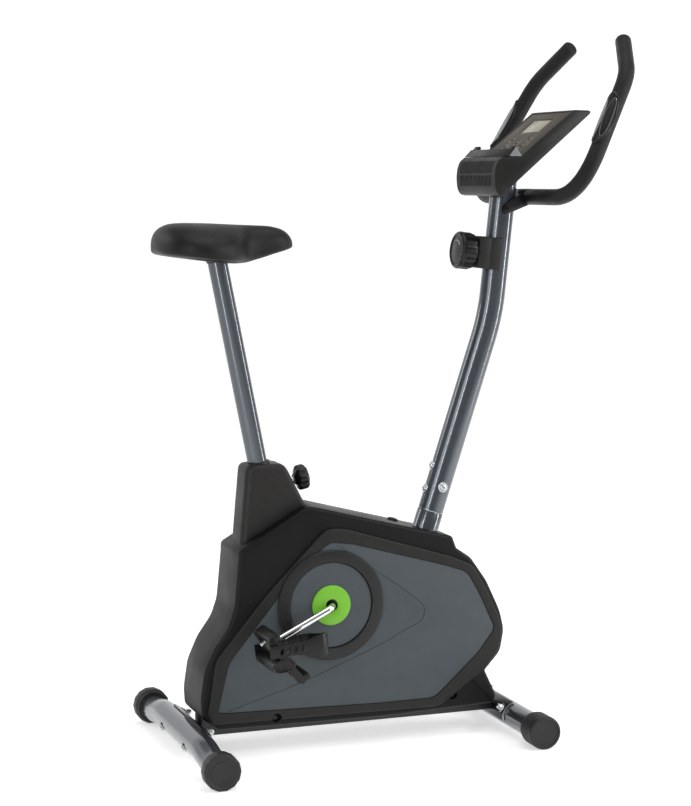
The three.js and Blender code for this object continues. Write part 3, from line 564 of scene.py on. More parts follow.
def round_tube(tube_at, degrees, reach, y):
    """A point round a stabiliser's axis, at an angle from its inward side."""
    angle = math.radians(degrees)
    return at(tube_at["x"] + tube_at["inward"] * reach * math.cos(angle), y,
              tube_at["z"] + reach * math.sin(angle))


def curved_plate(tube_at, inner, outer, low, high, arc, steps=16):
    """A plate curved round a stabiliser, from low to high in Y."""
    angles = [arc[0] + (arc[1] - arc[0]) * i / steps for i in range(steps + 1)]
    rings = []
    for y in (low, high):
        rings.append([round_tube(tube_at, a, outer, y) for a in angles]
                     + [round_tube(tube_at, a, inner, y) for a in reversed(angles)])
    return softened(loft(rings), 0.7, 2, 60)


def rear_feet():
    radius = middle("rear_foot_right").z / MM
    inner, outer = 232, 266
    depth = outer - inner
    place = at(0, -inner, radius)
    profile = [(25.6, 0), (radius - 4.5, 0), (radius - 3.4, 0.8), (radius - 3, 2), (radius - 3, 6.4),
               (radius - 1.6, 7.4), (radius - 0.4, 8.6), (radius, 10), (radius, depth - 4.6),
               (radius - 0.5, depth - 2.6), (radius - 1.8, depth - 0.9), (radius - 3.8, depth),
               (radius - 6.5, depth - 0.3), (radius - 8, depth - 1.6), (radius - 14, depth - 2.4),
               (0, depth - 3)]
    cap = turned(profile, place, RIGHT, REAR_CAP_SIDES * 8, flats(REAR_CAP_SIDES, radius, 1.006))
    both_sides("rear_cap_{}", cap, "rear_foot_{}_cap", "foot_rubber", ["rear_foot_{}"], 20)
    ring = turned([(radius - 14.4, depth - 2.8), (radius - 14.2, depth - 1.9), (radius - 15.2, depth - 1.6),
                   (radius - 16.2, depth - 2.1), (radius - 16.4, depth - 2.8)],
                  place, RIGHT, 64, closed=True)
    both_sides("rear_cap_ring_{}", ring, "rear_foot_{}_cap", "foot_rubber")


def front_rollers():
    radius = middle("front_roller_right").z / MM
    inner, outer = 157, 213
    depth = outer - inner
    place = at(FRONT_AXIS, -inner, radius)
    profile = [(25.4, 0), (radius - 4.6, 0), (radius - 3.4, 0.9), (radius - 3, 2.4), (radius - 3, 8),
               (radius - 0.8, 9.6)]
    for start in range(12, 38, 5):
        profile += [(radius - 0.1, start), (radius - 0.1, start + 2.6), (radius - 1.1, start + 3.2),
                    (radius - 1.1, start + 4.4)]
    profile += [(radius, 42.4), (radius, depth - 5), (radius - 0.6, depth - 2.6), (radius - 2.2, depth - 0.8),
                (radius - 4, depth), (radius - 5.6, depth - 0.4), (radius - 6.4, depth - 1.8),
                (radius - 15, depth - 2.4), (0, depth - 2.6)]
    cap = turned(profile, place, RIGHT, 88)
    both_sides("front_wheel_{}", cap, "front_roller_{}_wheel", "foot_rubber", ["front_roller_{}"], 30)


def stabilisers():
    rear_z = middle("rear_foot_right").z / MM
    front_z = middle("front_roller_right").z / MM
    piece("rear_tube", stabiliser(REAR_TUBE, rear_z, REAR_TUBE_HALF), "frame", "frame_paint",
          ["rear_stabilizer"])
    piece("front_tube", stabiliser(FRONT_TUBE, front_z, FRONT_TUBE_HALF), "frame", "frame_paint",
          ["front_stabilizer"])
    # The rail is a channel that opens downwards.
    rail = softened(prism(rectangle(*RAIL_X, *RAIL_Z), -RAIL_HALF, RAIL_HALF), 2.4, 3)
    trough = rectangle(RAIL_X[0] + RAIL_END, RAIL_X[1] - RAIL_END, 20, RAIL_Z[1] - RAIL_WALL)
    rail = carved(rail, prism(trough, RAIL_WALL - RAIL_HALF, RAIL_HALF - RAIL_WALL))
    piece("main_rail", rail, "frame", "black_paint", ["frame_rail"])
    for name, end in (("rear", REAR_TUBE), ("front", FRONT_TUBE)):
        plate = curved_plate(end, PLATE_INNER, PLATE_OUTER, -end["half"], end["half"], end["arc"])
        piece(name + "_saddle_plate", plate, "frame", "black_paint")
        rise = math.radians(end["rise"])
        inward = Vector((end["inward"] * math.cos(rise), 0, math.sin(rise)))
        centre = at(end["x"], -end["bolt_y"], end["z"])
        head = hex_bolt(centre - inward * (STABILISER_RADIUS + 0.1) * MM, -inward, 6.5, 4)
        nut = dome_nut(centre + inward * (PLATE_OUTER + 0.2) * MM, inward, 6.8)
        both_sides(name + "_fixing_{}", together(head, nut), "frame", "zinc", [name + "_bolt_{}"])
    # The rear plate is held by a small screw near each end, and the front one ends in a bright edge.
    rise = math.radians(PLATE_SCREW_RISE)
    outward = Vector((math.cos(rise), 0, math.sin(rise)))
    place = round_tube(REAR_TUBE, PLATE_SCREW_RISE, PLATE_OUTER, 8 - REAR_TUBE["half"])
    both_sides("rear_plate_screw_{}", socket_bolt(place, outward, 3.4), "frame", "zinc")
    edge = curved_plate(FRONT_TUBE, PLATE_INNER, PLATE_OUTER + 0.5, -FRONT_TUBE["half"] - 1.3,
                        -FRONT_TUBE["half"] - 0.1, FRONT_TUBE["arc"])
    both_sides("front_plate_edge_{}", edge, "frame", "zinc")


# ---------- casing ----------
CORE_HALF = 66
BORDER_BACK = 60
FRAME_FACE = 73.8                       # outermost face of the raised border
PANEL_BACK = 70.2
PANEL_FACE = 72.9

CASING = [
    (18, 84, 8), (16, 118, 10), (24, 172, 12), (44, 217, 10), (72, 256, 10), (84, 290, 10), (93, 384),
    (93, 401), (222, 475), (240, 480, 6), (532, 405, 5), (541, 381, 4), (572, 360, 8), (606, 312, 10),
    (636, 249, 14), (645, 210, 12), (637, 166, 12), (604, 130, 3), (629, 78, 4), (622, 62, 4), (381, 55),
    (50, 58, 6)]
BORDER = [
    (28, 92, 6), (44, 196, 16), (150, 320, 10), (266, 437, 24), (306, 434, 14), (526, 367, 10),
    (572, 346, 12), (598, 305, 12), (628, 243, 14), (637, 207, 12), (628, 168, 14), (594, 130, 14),
    (508, 72, 12), (492, 68, 4), (36, 72, 6)]
PANEL = [
    (47, 96, 4), (69, 188, 14), (171, 312, 20), (262, 402, 16), (277, 409, 6), (318, 404, 10),
    (506, 352, 14), (560, 334, 14), (588, 286, 14), (618, 221, 14), (616, 211, 6), (584, 170, 14),
    (498, 93, 8), (486, 87, 6), (377, 86), (60, 93, 4)]
CASING_SCREWS = {"rear": (165, 74), "front": (533, 87)}
SEAM = [(277, 412), (330, 374), (400, 326), (447, 291), (463, 278), (469, 266), (467, 252), (457, 240),
        (420, 224), (376, 202), (220, 143), (54, 92)]


def smooth_line(points, steps=6):
    """A Catmull-Rom line through points."""
    pts = [Vector(p) for p in points]
    padded = [pts[0] * 2 - pts[1], *pts, pts[-1] * 2 - pts[-2]]
    line = []
    for a, b, c, d in zip(padded, padded[1:], padded[2:], padded[3:]):
        for step in range(steps):
            t = step / steps
            line.append(0.5 * (2 * b + (c - a) * t + (2 * a - 5 * b + 4 * c - d) * t * t
                               + (3 * b - a - 3 * c + d) * t ** 3))
    line.append(pts[-1])
    return line


def ribbon(line, width):
    """A narrow outline that follows a line, carried on a little past its ends."""
    line = [line[0] * 2 - line[3], *line, line[-1] * 2 - line[-4]]
    near, far = [], []
    for i, here in enumerate(line):
        run = (line[min(i + 1, len(line) - 1)] - line[max(i - 1, 0)]).normalized()
        offset = Vector((run.y, -run.x)) * width / 2
        near.append(here + offset)
        far.append(here - offset)
    return near + far[::-1]


def panel():
    """The grey inset: one plate with a swept groove across its face."""
    plate = softened(prism(rounded(PANEL), -PANEL_FACE, -PANEL_BACK + 1), 0.7, 2, 60)
    groove = prism(ribbon(smooth_line(SEAM), 1.7), -PANEL_FACE - 2, -PANEL_FACE + 0.9)
    return carved(plate, groove)


def casing():
    core = softened(prism(rounded(CASING), -CORE_HALF, CORE_HALF), 7, 4)
    recesses = [turned([(0, -6), (9.5, -6), (9.5, 9), (0, 9)], at(x, -CORE_HALF, z), RIGHT, 40)
                for x, z in CASING_SCREWS.values()]
    core = carved(core, *recesses, *[flipped(r) for r in recesses])
    piece("casing_core", core, "frame", "casing_ridge", ["casing_left", "casing_right"], 30)

    border = softened(prism(rounded(BORDER), -FRAME_FACE, -BORDER_BACK), 3.2, 4)
    window = prism(inset(rounded(PANEL), -0.8), -FRAME_FACE - 5, -PANEL_BACK)
    both_sides("casing_border_{}", carved(border, window, recesses[0]), "frame", "casing_plastic", (), 30)

    both_sides("panel_{}", panel(), "frame", "panel_plastic", ["side_panel_{}"])
    screws()
    crank_discs()
    hood()


def screws():
    for name, (x, z) in CASING_SCREWS.items():
        head = turned([(0, 0), (5.5, 0), (5.5, 1.6), (4.2, 2.6), (1.8, 3.0), (1.6, 1.6), (0, 1.6)],
                      at(x, -CORE_HALF + 5.9, z), RIGHT, 32)
        both_sides(name + "_screw_{}", head, "frame", "black_paint")


def crank_discs():
    centre = at(CRANK.x, -PANEL_FACE + 0.8, CRANK.z)
    ring = turned([(83.5, 0), (83.5, 3.0), (84.5, 6.0), (86, 7.0), (103, 7.0), (105.6, 6.2), (107, 4.4),
                   (107, 0)], centre, RIGHT, 128, closed=True)
    both_sides("crank_ring_{}", ring, "frame", "ring_plastic", ["disc_cover_{}"], 30)
    disc = turned([(12, 0), (12, 4.4), (38, 4.6), (81.6, 4.0), (83.2, 3.0), (83.2, 0)],
                  centre, RIGHT, 128, closed=True)
    both_sides("crank_disc_{}", disc, "frame", "panel_plastic", (), 30)
    cap = turned([(12.2, 4), (12.2, 8.4), (13.4, 9.0), (36, 8.6), (38.2, 7.8), (39, 6.6), (39, 4.4)],
                 centre, RIGHT, 96, closed=True)
    both_sides("green_cap_{}", cap, "frame", "green_plastic", ["crank_cap_{}"], 30)
    collar = turned([(7.3, 0), (7.3, 3), (8, 3.6), (11, 3.4), (11.9, 2), (11.9, 0)],
                    centre, RIGHT, 48, closed=True)
    both_sides("crank_collar_{}", collar, "frame", "black_plastic", (), 30)


def rounded_rectangle(x0, x1, half, rear, front, steps=8):
    """An X-Y outline of half-width half, with its own corner radius at each end."""
    corners = [(x1, half, front), (x0, half, rear), (x0, -half, rear), (x1, -half, front)]
    points = []
    for i, (x, y, radius) in enumerate(corners):
        cx = x - radius if x == x1 else x + radius
        cy = y - radius if y > 0 else y + radius
        for step in range(steps + 1):
            a = math.radians(90 * i + 90 * step / steps)
            points.append((cx + radius * math.cos(a), cy + radius * math.sin(a)))
    return points


HOOD_TOP = 560
SEAT_AXIS_X, SEAT_AXIS_Z = 245, 87      # a point on the seat tube's axis
SEAT_LEAN = math.radians(11.3)


def hood():
    """The cover round the seat tube: upright rounded corners and a front that slopes to the knob."""
    # Height, rear, front, and how far the outline is drawn in.
    stations = [(385, 104, 246, 0), (420, 107, 246, 0), (466, 111, 244, 0), (490, 113, 232, 0),
                (520, 116, 216, 0), (545, 118, 203.5, 0), (552, 118.5, 200, 0.6), (556.5, 119, 198, 2.4),
                (559.5, 119, 197, 6), (560.6, 119, 197, 11)]
    rings = []
    for z, rear, front, shrink in stations:
        outline = rounded_rectangle(rear + shrink, front - shrink, 37 - shrink, 15, 10)
        rings.append([at(x, y, z) for x, y in outline])
    shell = loft(rings)
    mouth = at(SEAT_AXIS_X - (HOOD_TOP - SEAT_AXIS_Z) * math.tan(SEAT_LEAN), 0, HOOD_TOP)
    hole = turned([(0, -230), (20.4, -230), (20.4, 30), (0, 30)], mouth, SEAT_UP, 48)
    piece("seat_hood", carved(shell, hole), "frame", "casing_plastic", ["seat_post_cover"], 30)
    collar = turned([(19.4, -6), (19.4, 2.4), (21, 3), (24, 1.6), (24.4, 0), (24.4, -6)],
                    mouth, SEAT_UP, 48, closed=True)
    piece("hood_collar", collar, "frame", "black_plastic", (), 30)
    plug = turned([(0, -4), (11, -4), (11, 2), (9.5, 4.4), (5, 5.6), (0, 6)],
                  at(438, 22, 429), Vector((0.25, 0, 0.97)), 40)
    piece("casing_plug", plug, "frame", "black_plastic", (), 30)


# ---------- seat ----------
SEAT_TUBE_RADIUS = 19.05
PIN_RADIUS = 4.8


def post_point(z):
    """A point on the seat post's axis, at a height in metres."""
    centre = middle("seat_post")
    return Vector((centre.x + (z - centre.z) * SEAT_UP.x / SEAT_UP.z, 0, z))


def seat_parts():
    low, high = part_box("seat_post")
    run = [post_point(low.z + 6 * MM), post_point(high.z + 16 * MM)]
    piece("seat_tube", tube(run, SEAT_TUBE_RADIUS, 64), "seat", "frame_paint", ["seat_post"])
    collar = turned([(19.3, 3), (20.2, 3), (20.8, 3.8), (21.4, 9), (21.4, 14), (19.3, 14)],
                    post_point(high.z + 4 * MM), SEAT_UP, 48, closed=True)
    piece("saddle_collar", collar, "seat", "black_plastic", (), 30)

    def lobes(angle, radius, _distance):
        """Seven grips round the knob's rim."""
        return 1 - 0.16 * (0.5 - 0.5 * math.cos(7 * angle)) ** 3 if radius > 16 else 1

    knob = middle("seat_knob")
    back = Vector((knob.x, 0, knob.z)) - PIN_OUT * 14.5 * MM
    head = turned([(0, 0), (10, 0), (12, 3), (14, 4.5), (21, 6), (24.2, 8.5), (25, 12), (25, 20), (24, 23.6),
                   (21, 26.4), (15, 28), (0, 28.6)], back, PIN_OUT, 96, lobes)
    piece("pop_knob", head, "pin_knob", "black_plastic", ["seat_knob"], 34)
    low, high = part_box("seat_pin")
    run = [Vector((low.x + MM, 0, low.z + 5 * MM)), Vector((high.x - MM, 0, high.z - 5 * MM))]
    piece("pop_pin_shaft", tube(run, PIN_RADIUS, 32), "pop_pin", "zinc", ["seat_pin"])


SADDLE_REAR, SADDLE_NOSE = -50.8, 221.6
SADDLE_WIDEST = 115                     # half its width across the wings
SADDLE_TOP = [(-51, 982), (-49.6, 993), (-44, 1005), (-32, 1015.5), (-10, 1022), (39, 1023), (98, 1020.5),
              (150, 1018.5), (178, 1016.5), (201, 1009.5), (215, 997), (222, 983)]
SADDLE_BOTTOM = [(-51, 976), (-47, 967), (-36, 961), (2, 955), (55, 949), (109, 946.5), (135, 951),
                 (178, 962), (206, 969.5), (222, 975)]
SADDLE_HALF = [(-51, 0), (-49.5, 22), (-44, 50), (-32, 80), (-12, 102), (10, 112), (30, 115), (54, 111),
               (78, 101), (96, 84), (109, 65), (122, 52), (140, 46), (162, 43), (184, 39.5), (203, 32),
               (215, 20), (220, 9), (222, 0)]


def read_line(points, x):
    """Height of a polyline at x."""
    for (x0, z0), (x1, z1) in zip(points, points[1:]):
        if x <= x1:
            return z0 + (z1 - z0) * max(0.0, (x - x0) / (x1 - x0))
    return points[-1][1]


def saddle_shape(columns=72, around=64):
    """A moulded saddle: full round rear wings that droop, a waist, and a soft nose."""
    edge = smooth_line(SADDLE_HALF, 10)
    top = smooth_line(SADDLE_TOP, 8)
    bottom = smooth_line(SADDLE_BOTTOM, 8)
    rings = []
    for i in range(1, columns):
        x = SADDLE_REAR + (SADDLE_NOSE - SADDLE_REAR) * (0.5 - 0.5 * math.cos(math.pi * i / columns))
        half = max(1.0, read_line(edge, x))
        high = read_line(top, x)
        low = read_line(bottom, x)
        wing = max(0.0, min(1.0, (half - 40) / 75))
        waist = low + (high - low) * (0.34 - 0.06 * wing)
        ring = []
        for j in range(around):
            a = 2 * math.pi * j / around
            c, s = math.cos(a), math.sin(a)
            power = 2 / (2.1 if s >= 0 else 4.5)
            y = half * math.copysign(abs(c) ** power, c)
            lift = abs(s) ** power
            z = waist + (high - waist) * lift if s >= 0 else waist - (waist - low) * lift
            # The wings droop towards their edges, and a shallow groove runs along the middle.
            droop = 9 * wing * (y / SADDLE_WIDEST) ** 2
            groove = 2.2 * math.exp(-(y / 16) ** 2) * max(0.0, min(1.0, (x + 30) / 60))
            ring.append(at(x, y, z - (droop + groove) * max(0.0, s)))
        rings.append(ring)
    return loft(rings)


def saddle():
    pad = piece("saddle", saddle_shape(), "seat", "saddle_vinyl", ["seat_pad"], 60)
    smooth = pad.modifiers.new("even", "SMOOTH")
    smooth.factor = 0.5
    smooth.iterations = 6
    applied = bpy.data.meshes.new_from_object(pad.evaluated_get(bpy.context.evaluated_depsgraph_get()))
    pad.modifiers.clear()
    pad.data = applied
    # The base plate closes the saddle from below, a little inside its lower edge.
    centre_x = 60
    outline = [(centre_x + (x - centre_x) * 0.86, y * 0.86) for x, y in smooth_line(SADDLE_HALF, 3)]
    outline += [(x, -y) for x, y in reversed(outline[1:-1])]
    bottom = smooth_line(SADDLE_BOTTOM, 8)
    rings = [[at(centre_x + (x - centre_x) * s, y * s, read_line(bottom, x) + lift) for x, y in outline]
             for s, lift in ((1.0, 6.0), (1.0, 1.5), (0.97, 0.2), (0.80, 0.4), (0.77, 2.2), (0.4, 2.4))]
    piece("saddle_base", loft(rings), "seat", "black_plastic", ["seat_pan"], 40)


# ---------- mast ----------
MAST_RADIUS = 25.4
MAST_LEAN = math.radians(6.1)
MAST_UP = Vector((math.sin(MAST_LEAN), 0, math.cos(MAST_LEAN)))
STUB_SLOPE = 0.3264                     # the lower mast's run forward for each unit up
MAST_FOOT_X, MAST_FOOT_Z = 393, 87      # a point on the lower mast's axis
MAST_BEND_Z, MAST_TOP_Z = 835, 1118
STUB_TOP = 447
MAST_BOLTS = {"upper": 531, "lower": 486}
SIDE_BOLT_Z = 497
STUB_UP = Vector((STUB_SLOPE, 0, 1)).normalized()
MAST_BACK = Vector((-1, 0, STUB_SLOPE)).normalized()


def stub_point(z):
    return at(MAST_FOOT_X + (z - MAST_FOOT_Z) * STUB_SLOPE, 0, z)


def mast_point(z):
    return stub_point(MAST_BEND_Z) + MAST_UP * ((z - MAST_BEND_Z) * MM / MAST_UP.z)


def mast():
    path = bent([stub_point(STUB_TOP + 1), stub_point(MAST_BEND_Z), mast_point(MAST_TOP_Z)], 48, steps=16)
    piece("mast_tube", tube(path, MAST_RADIUS, 64), "frame", "frame_paint", ["mast"])
    long = 73.4
    stub = turned([(0, 0), (26.2, 0), (26.2, long - 1.4), (25.6, long - 0.4), (25.0, long), (0, long)],
                  stub_point(STUB_TOP) - STUB_UP * long * MM, STUB_UP, 64)
    piece("mast_stub", stub, "frame", "frame_paint", ["front_stub"])
    # A thin ring at the stub's top, in bright zinc as a painted highlight: it stands for the glint along the
    # painted stub's chamfered edge.
    rim = turned([(24.6, 0), (25.9, 0), (26.0, 0.5), (25.5, 1.0), (24.6, 1.0)],
                 stub_point(STUB_TOP + 0.4), STUB_UP, 64, closed=True)
    piece("mast_rim_highlight", rim, "frame", "zinc", (), 30)
    for name, z in MAST_BOLTS.items():
        place = stub_point(z) + MAST_BACK * (MAST_RADIUS - 0.4) * MM
        piece(f"mast_fixing_{name}", socket_bolt(place, MAST_BACK, 6.4), "frame", "zinc",
              [f"mast_bolt_{name}"])
    place = stub_point(SIDE_BOLT_Z) + RIGHT * (MAST_RADIUS - 0.4) * MM
    piece("mast_fixing_side", socket_bolt(place, RIGHT, 6.8), "frame", "zinc",
          ["mast_bolt_right"])


# ---------- tension knob ----------
KNOB_Z = 956


def on_mast(shape, z):
    """A shape drawn round the origin, set on the mast at a height and leaning with it."""
    matrix = Matrix.Translation(mast_point(z)) @ Matrix.Rotation(MAST_LEAN, 4, "Y")
    return moved(shape, matrix)


def tension():
    def block(x0, x1, drawn_in, edge):
        tall, half = 31.6 - drawn_in, 28.6 - drawn_in
        return softened(level(rectangle(x0, x1, -tall, tall), -half, half), edge, segments=edge)

    # Two half shells with a narrow dark seam between them.
    for name, x0, x1, hides in (("outer", -50, -25.2, ["tension_housing"]), ("inner", -24.6, -1, ())):
        shell = on_mast(block(x0, x1, 0, 3), KNOB_Z)
        piece(f"tension_shell_{name}", shell, "frame", "console_plastic", hides)
    piece("tension_seam", on_mast(block(-46, -4, 1, 2), KNOB_Z), "frame", "black_plastic")

    back = Vector((-1, 0, 0))
    start = back * 50.6 * MM

    def round_dial(angle, radius, lift):
        return start + back * lift * MM + Vector((0, math.cos(angle), math.sin(angle))) * radius * MM

    def lobes(angle, radius, distance):
        """Eleven broad grips behind a plain rim."""
        if radius < 30 or distance > 27:
            return 1
        return 1 - 0.125 * (0.5 + 0.5 * math.tanh(3.2 * math.cos(11 * angle) + 0.5))

    body = turned([(0, 0), (26, 0), (27, 1), (27, 4), (31, 4.6), (34.6, 5.4), (36.2, 7.4), (36.6, 10),
                   (36.6, 27), (37, 27.6), (37, 31), (36.4, 33.8), (34.8, 36), (32.4, 37.2), (30.4, 36.8),
                   (28.6, 35), (26, 35.2), (14, 37.2), (0, 38)], start, back, 198, lobes)
    piece("tension_dial_body", on_mast(body, KNOB_Z), "tension_dial", "black_plastic", ["tension_knob"], 34)
    # A pale wedge-shaped arc and dots show which way the load grows.
    arc = []
    for step in range(17):
        angle = math.radians(35 + step * 7)
        width = 0.5 + 1.4 * step / 16
        section = ((19 - width, 36.4), (19 + width, 36.2), (19 + width, 37.3), (19 - width, 37.5))
        arc.append([round_dial(angle, radius, lift) for radius, lift in section])
    marks = [loft(arc)]
    for step in range(7):
        place = round_dial(math.radians(200 + step * 23), 24.5, 35.4)
        marks.append(turned([(0, 0), (1.2, 0), (1.2, 0.6), (0.8, 0.9), (0, 1)], place, back, 16))
    piece("tension_marks", on_mast(together(*marks), KNOB_Z), "tension_dial", "pale_grey", (), 30)


# ---------- console ----------
CONSOLE_HALF = 97
FACE_SLOPE = math.radians(38.7)
FACE_FOOT = at(657, 0, 1147.5)
ROLL = [(620, 1071), (611, 1074.5), (605.4, 1084), (603, 1098), (602.8, 1112), (605, 1127), (610.5, 1139),
        (620, 1147)]
CONSOLE_REST = [(640, 1147.4), (657, 1147.5), (714, 1193.2), (768, 1236.6), (773, 1238), (802, 1237.4),
                (807, 1235.4), (806, 1231), (740, 1175), (660, 1107), (628, 1080), (624, 1073)]
VENT_ROWS = ((1091, 1112), (1115, 1138))
VENT_COUNT, VENT_PITCH, VENT_SLOT, VENT_DEPTH = 24, 6.6, 3.4, 2.4
# Each button's place on the face, up the slope and across it, and its half-sizes.
BUTTONS = {"centre": (43, 0), "lower_left": (33, 40), "lower_right": (33, -40), "upper_left": (55, 40),
           "upper_right": (55, -40)}
BUTTON_LONG, BUTTON_WIDE = 4.2, 7.2


def on_face(shape):
    """A shape drawn on a level plate, +X up the slope, set on the console's face."""
    return moved(shape, Matrix.Translation(FACE_FOOT) @ Matrix.Rotation(-FACE_SLOPE, 4, "Y"))


def face_point(s, y, h):
    return Vector((s * MM, y * MM, h * MM))


def face_block(s0, s1, y0, y1, h0, h1):
    """A block on the face: from s0 to s1 up the slope, y0 to y1 across, and h0 to h1 high."""
    return loft([[face_point(s, y, h) for s, y in rectangle(s0, s1, y0, y1)] for h in (h0, h1)])


def face_oval(s, y, long, wide, h):
    return [face_point(s + long * a, y + wide * b, h) for a, b in circle(1, 40)]


def console_profile(shrink, vent):
    """The console's side outline in X and Z, drawn in by shrink, with the vent rows cut in by vent."""
    roll = smooth_line(ROLL, 7)
    outline = roll + [Vector(p) for p in CONSOLE_REST]
    drawn_in = inset(outline, shrink) if shrink else outline
    if not vent:
        return drawn_in
    cut_in = inset(outline, vent)
    vented = [any(low < p.y < high for low, high in VENT_ROWS) for p in roll]
    return [cut_in[i] if i < len(roll) and vented[i] else p for i, p in enumerate(drawn_in)]


def console_shell():
    # Stations across the console: place, how far drawn in, and vent depth. The rounded end and the shallow
    # groove beside it are mirrored after the vents.
    end = [(-CONSOLE_HALF, 3.4, 0), (-CONSOLE_HALF + 1.0, 1.4, 0), (-CONSOLE_HALF + 3.4, 0, 0),
           (-85.2, 0, 0), (-85.0, 0.9, 0), (-83.8, 0.9, 0), (-83.6, 0, 0)]
    stations = list(end)
    for i in range(VENT_COUNT):
        y = -VENT_PITCH * (VENT_COUNT - 1) / 2 + i * VENT_PITCH
        low, high = y - VENT_SLOT / 2, y + VENT_SLOT / 2
        stations += [(low - 0.2, 0, 0), (low, 0, VENT_DEPTH), (high, 0, VENT_DEPTH), (high + 0.2, 0, 0)]
    stations += [(-y, shrink, vent) for y, shrink, vent in reversed(end)]
    shell = loft([[at(p.x, y, p.y) for p in console_profile(shrink, vent)] for y, shrink, vent in stations])
    return carved(shell, on_face(face_block(4, 140, -89, 89, -3.6, 8)))


def console():
    piece("console_body", console_shell(), "frame", "console_plastic", ["console_shell"], 30)
    window = face_block(76, 120, -44, 44, -6, 3)
    holes = [loft([face_oval(s, y, BUTTON_LONG + 0.4, BUTTON_WIDE + 0.4, h) for h in (-6, 3)])
             for s, y in BUTTONS.values()]
    plate = carved(face_block(4.4, 139.6, -88.6, 88.6, -3.4, -0.6), window, *holes)
    piece("console_plate", on_face(softened(plate, 0.5, 2, 60)), "frame", "console_face", ["console_panel"])
    screen = softened(face_block(76.2, 119.8, -43.8, 43.8, -3.4, -1.4), 0.6, 2)
    piece("display_window", on_face(screen), "frame", "screen", ["console_screen"])
    bezel = [softened(face_block(s0, s1, y0, y1, -2.4, -1.0), 0.3, 2)
             for s0, s1, y0, y1 in ((76.2, 79.4, -43.8, 43.8), (116.6, 119.8, -43.8, 43.8),
                                    (79.4, 116.6, -43.8, -40.4), (79.4, 116.6, 40.4, 43.8))]
    piece("display_bezel", on_face(together(*bezel)), "frame", "black_plastic")
    for name, (s, y) in BUTTONS.items():
        body = "button_" + name
        dome = loft([face_oval(s, y, BUTTON_LONG * scale, BUTTON_WIDE * scale, h) for scale, h in (
            (0.96, -4), (0.96, 0.2), (0.9, 0.8), (0.72, 1.0), (0.3, 0.9), (0.02, 0.9))])
        piece(body + "_cap", on_face(dome), body, "console_face", ["console_" + body], 30)
        trim = []
        for a, b in circle(1, 48):
            trim.append([face_point(s + (BUTTON_LONG + 0.7 + w) * a, y + (BUTTON_WIDE + 0.7 + w) * b, h)
                         for w, h in ((0, -0.8), (0, -0.35), (0.8, -0.35), (0.8, -0.8))])
        piece(body + "_trim", on_face(loft(trim, closed=True)), "frame", "button_rubber", (), 30)
    ledge()


def ledge():
    """The book rest: a lip that leans forward over the face's foot, with a taller horn at each end."""
    half, horn = 94.6, 22
    lip = softened(prism([(620, 1147.6), (652, 1147.6), (652, 1149.8), (628, 1150), (637.8, 1159.6),
                          (634.6, 1162.6)], -half, half), 0.8, 2, 30)
    corner = [(630, 1153), (634, 1150.5), (648.4, 1165.6), (644.4, 1169.2)]
    horns = [softened(prism(corner, *sorted((side * half, side * (half - horn)))), 0.9, 2, 30)
             for side in (-1, 1)]
    piece("book_rest", together(lip, *horns), "frame", "console_plastic", ["console_ledge"])
    # A pale grey triangle at each end of the rest, between the lip and the horn.
    for side, name in ((-1, "right"), (1, "left")):
        ends = sorted((side * 92.6, side * 95.4))
        triangle = softened(prism([(634, 1147.8), (660, 1147.8), (647.5, 1167)], *ends), 0.6, 2, 30)
        piece(f"rest_pale_triangle_{name}", triangle, "frame", "pale_grey")


# ---------- handlebar ----------
FOAM_RADIUS = 15.8
BAR_CORNERS = [(BAR_AXIS.x, -254, BAR_AXIS.z), (828, -205, 1302), (866, -112, 1374)]
BAR_BENDS = (105, 30)
BAR_RADIUS = 12.7
GRIP_START = 40
SENSOR_PLACE = 164                      # along the limb from its lower corner
SENSOR_HALF = 57
PAD_OFFSET = 8.0                        # the pad's distance from the sensor's middle line


def handlebar():
    corners = [at(*corner) for corner in BAR_CORNERS]
    start = at(BAR_AXIS.x, -GRIP_START, BAR_AXIS.z)
    tip = corners[2] + (corners[1] - corners[2]).normalized() * 6 * MM
    path = bent([start, *corners[:2], tip], *BAR_BENDS, steps=18)
    last = (path[-1] - path[-2]).normalized()
    # The foam closes over the bar's tip as a soft dome.
    scales = [1.0] * len(path)
    scales[0] = 0.96
    for step in range(1, 7):
        a = math.radians(step * 15)
        path.append(corners[2] + last * (-7 + 6.4 * math.sin(a)) * MM)
        scales.append(max(0.05, 0.62 + 0.38 * math.cos(a)) if step < 6 else 0.3)
    path.insert(1, start + Vector((0, -2 * MM, 0)))
    scales.insert(1, 1.0)
    foam = tube(path, FOAM_RADIUS, 48, Vector((1, 0, 0)), scales)
    both_sides("foam_{}", foam, "bar", "foam", ["grip_{}"], 50)
    middle_run = [at(BAR_AXIS.x, side * (GRIP_START + 4), BAR_AXIS.z) for side in (-1, 1)]
    piece("bar_tube", tube(middle_run, BAR_RADIUS, 48), "bar", "black_paint", ["handlebar"])
    pulse_sensors(corners)
    clamp()


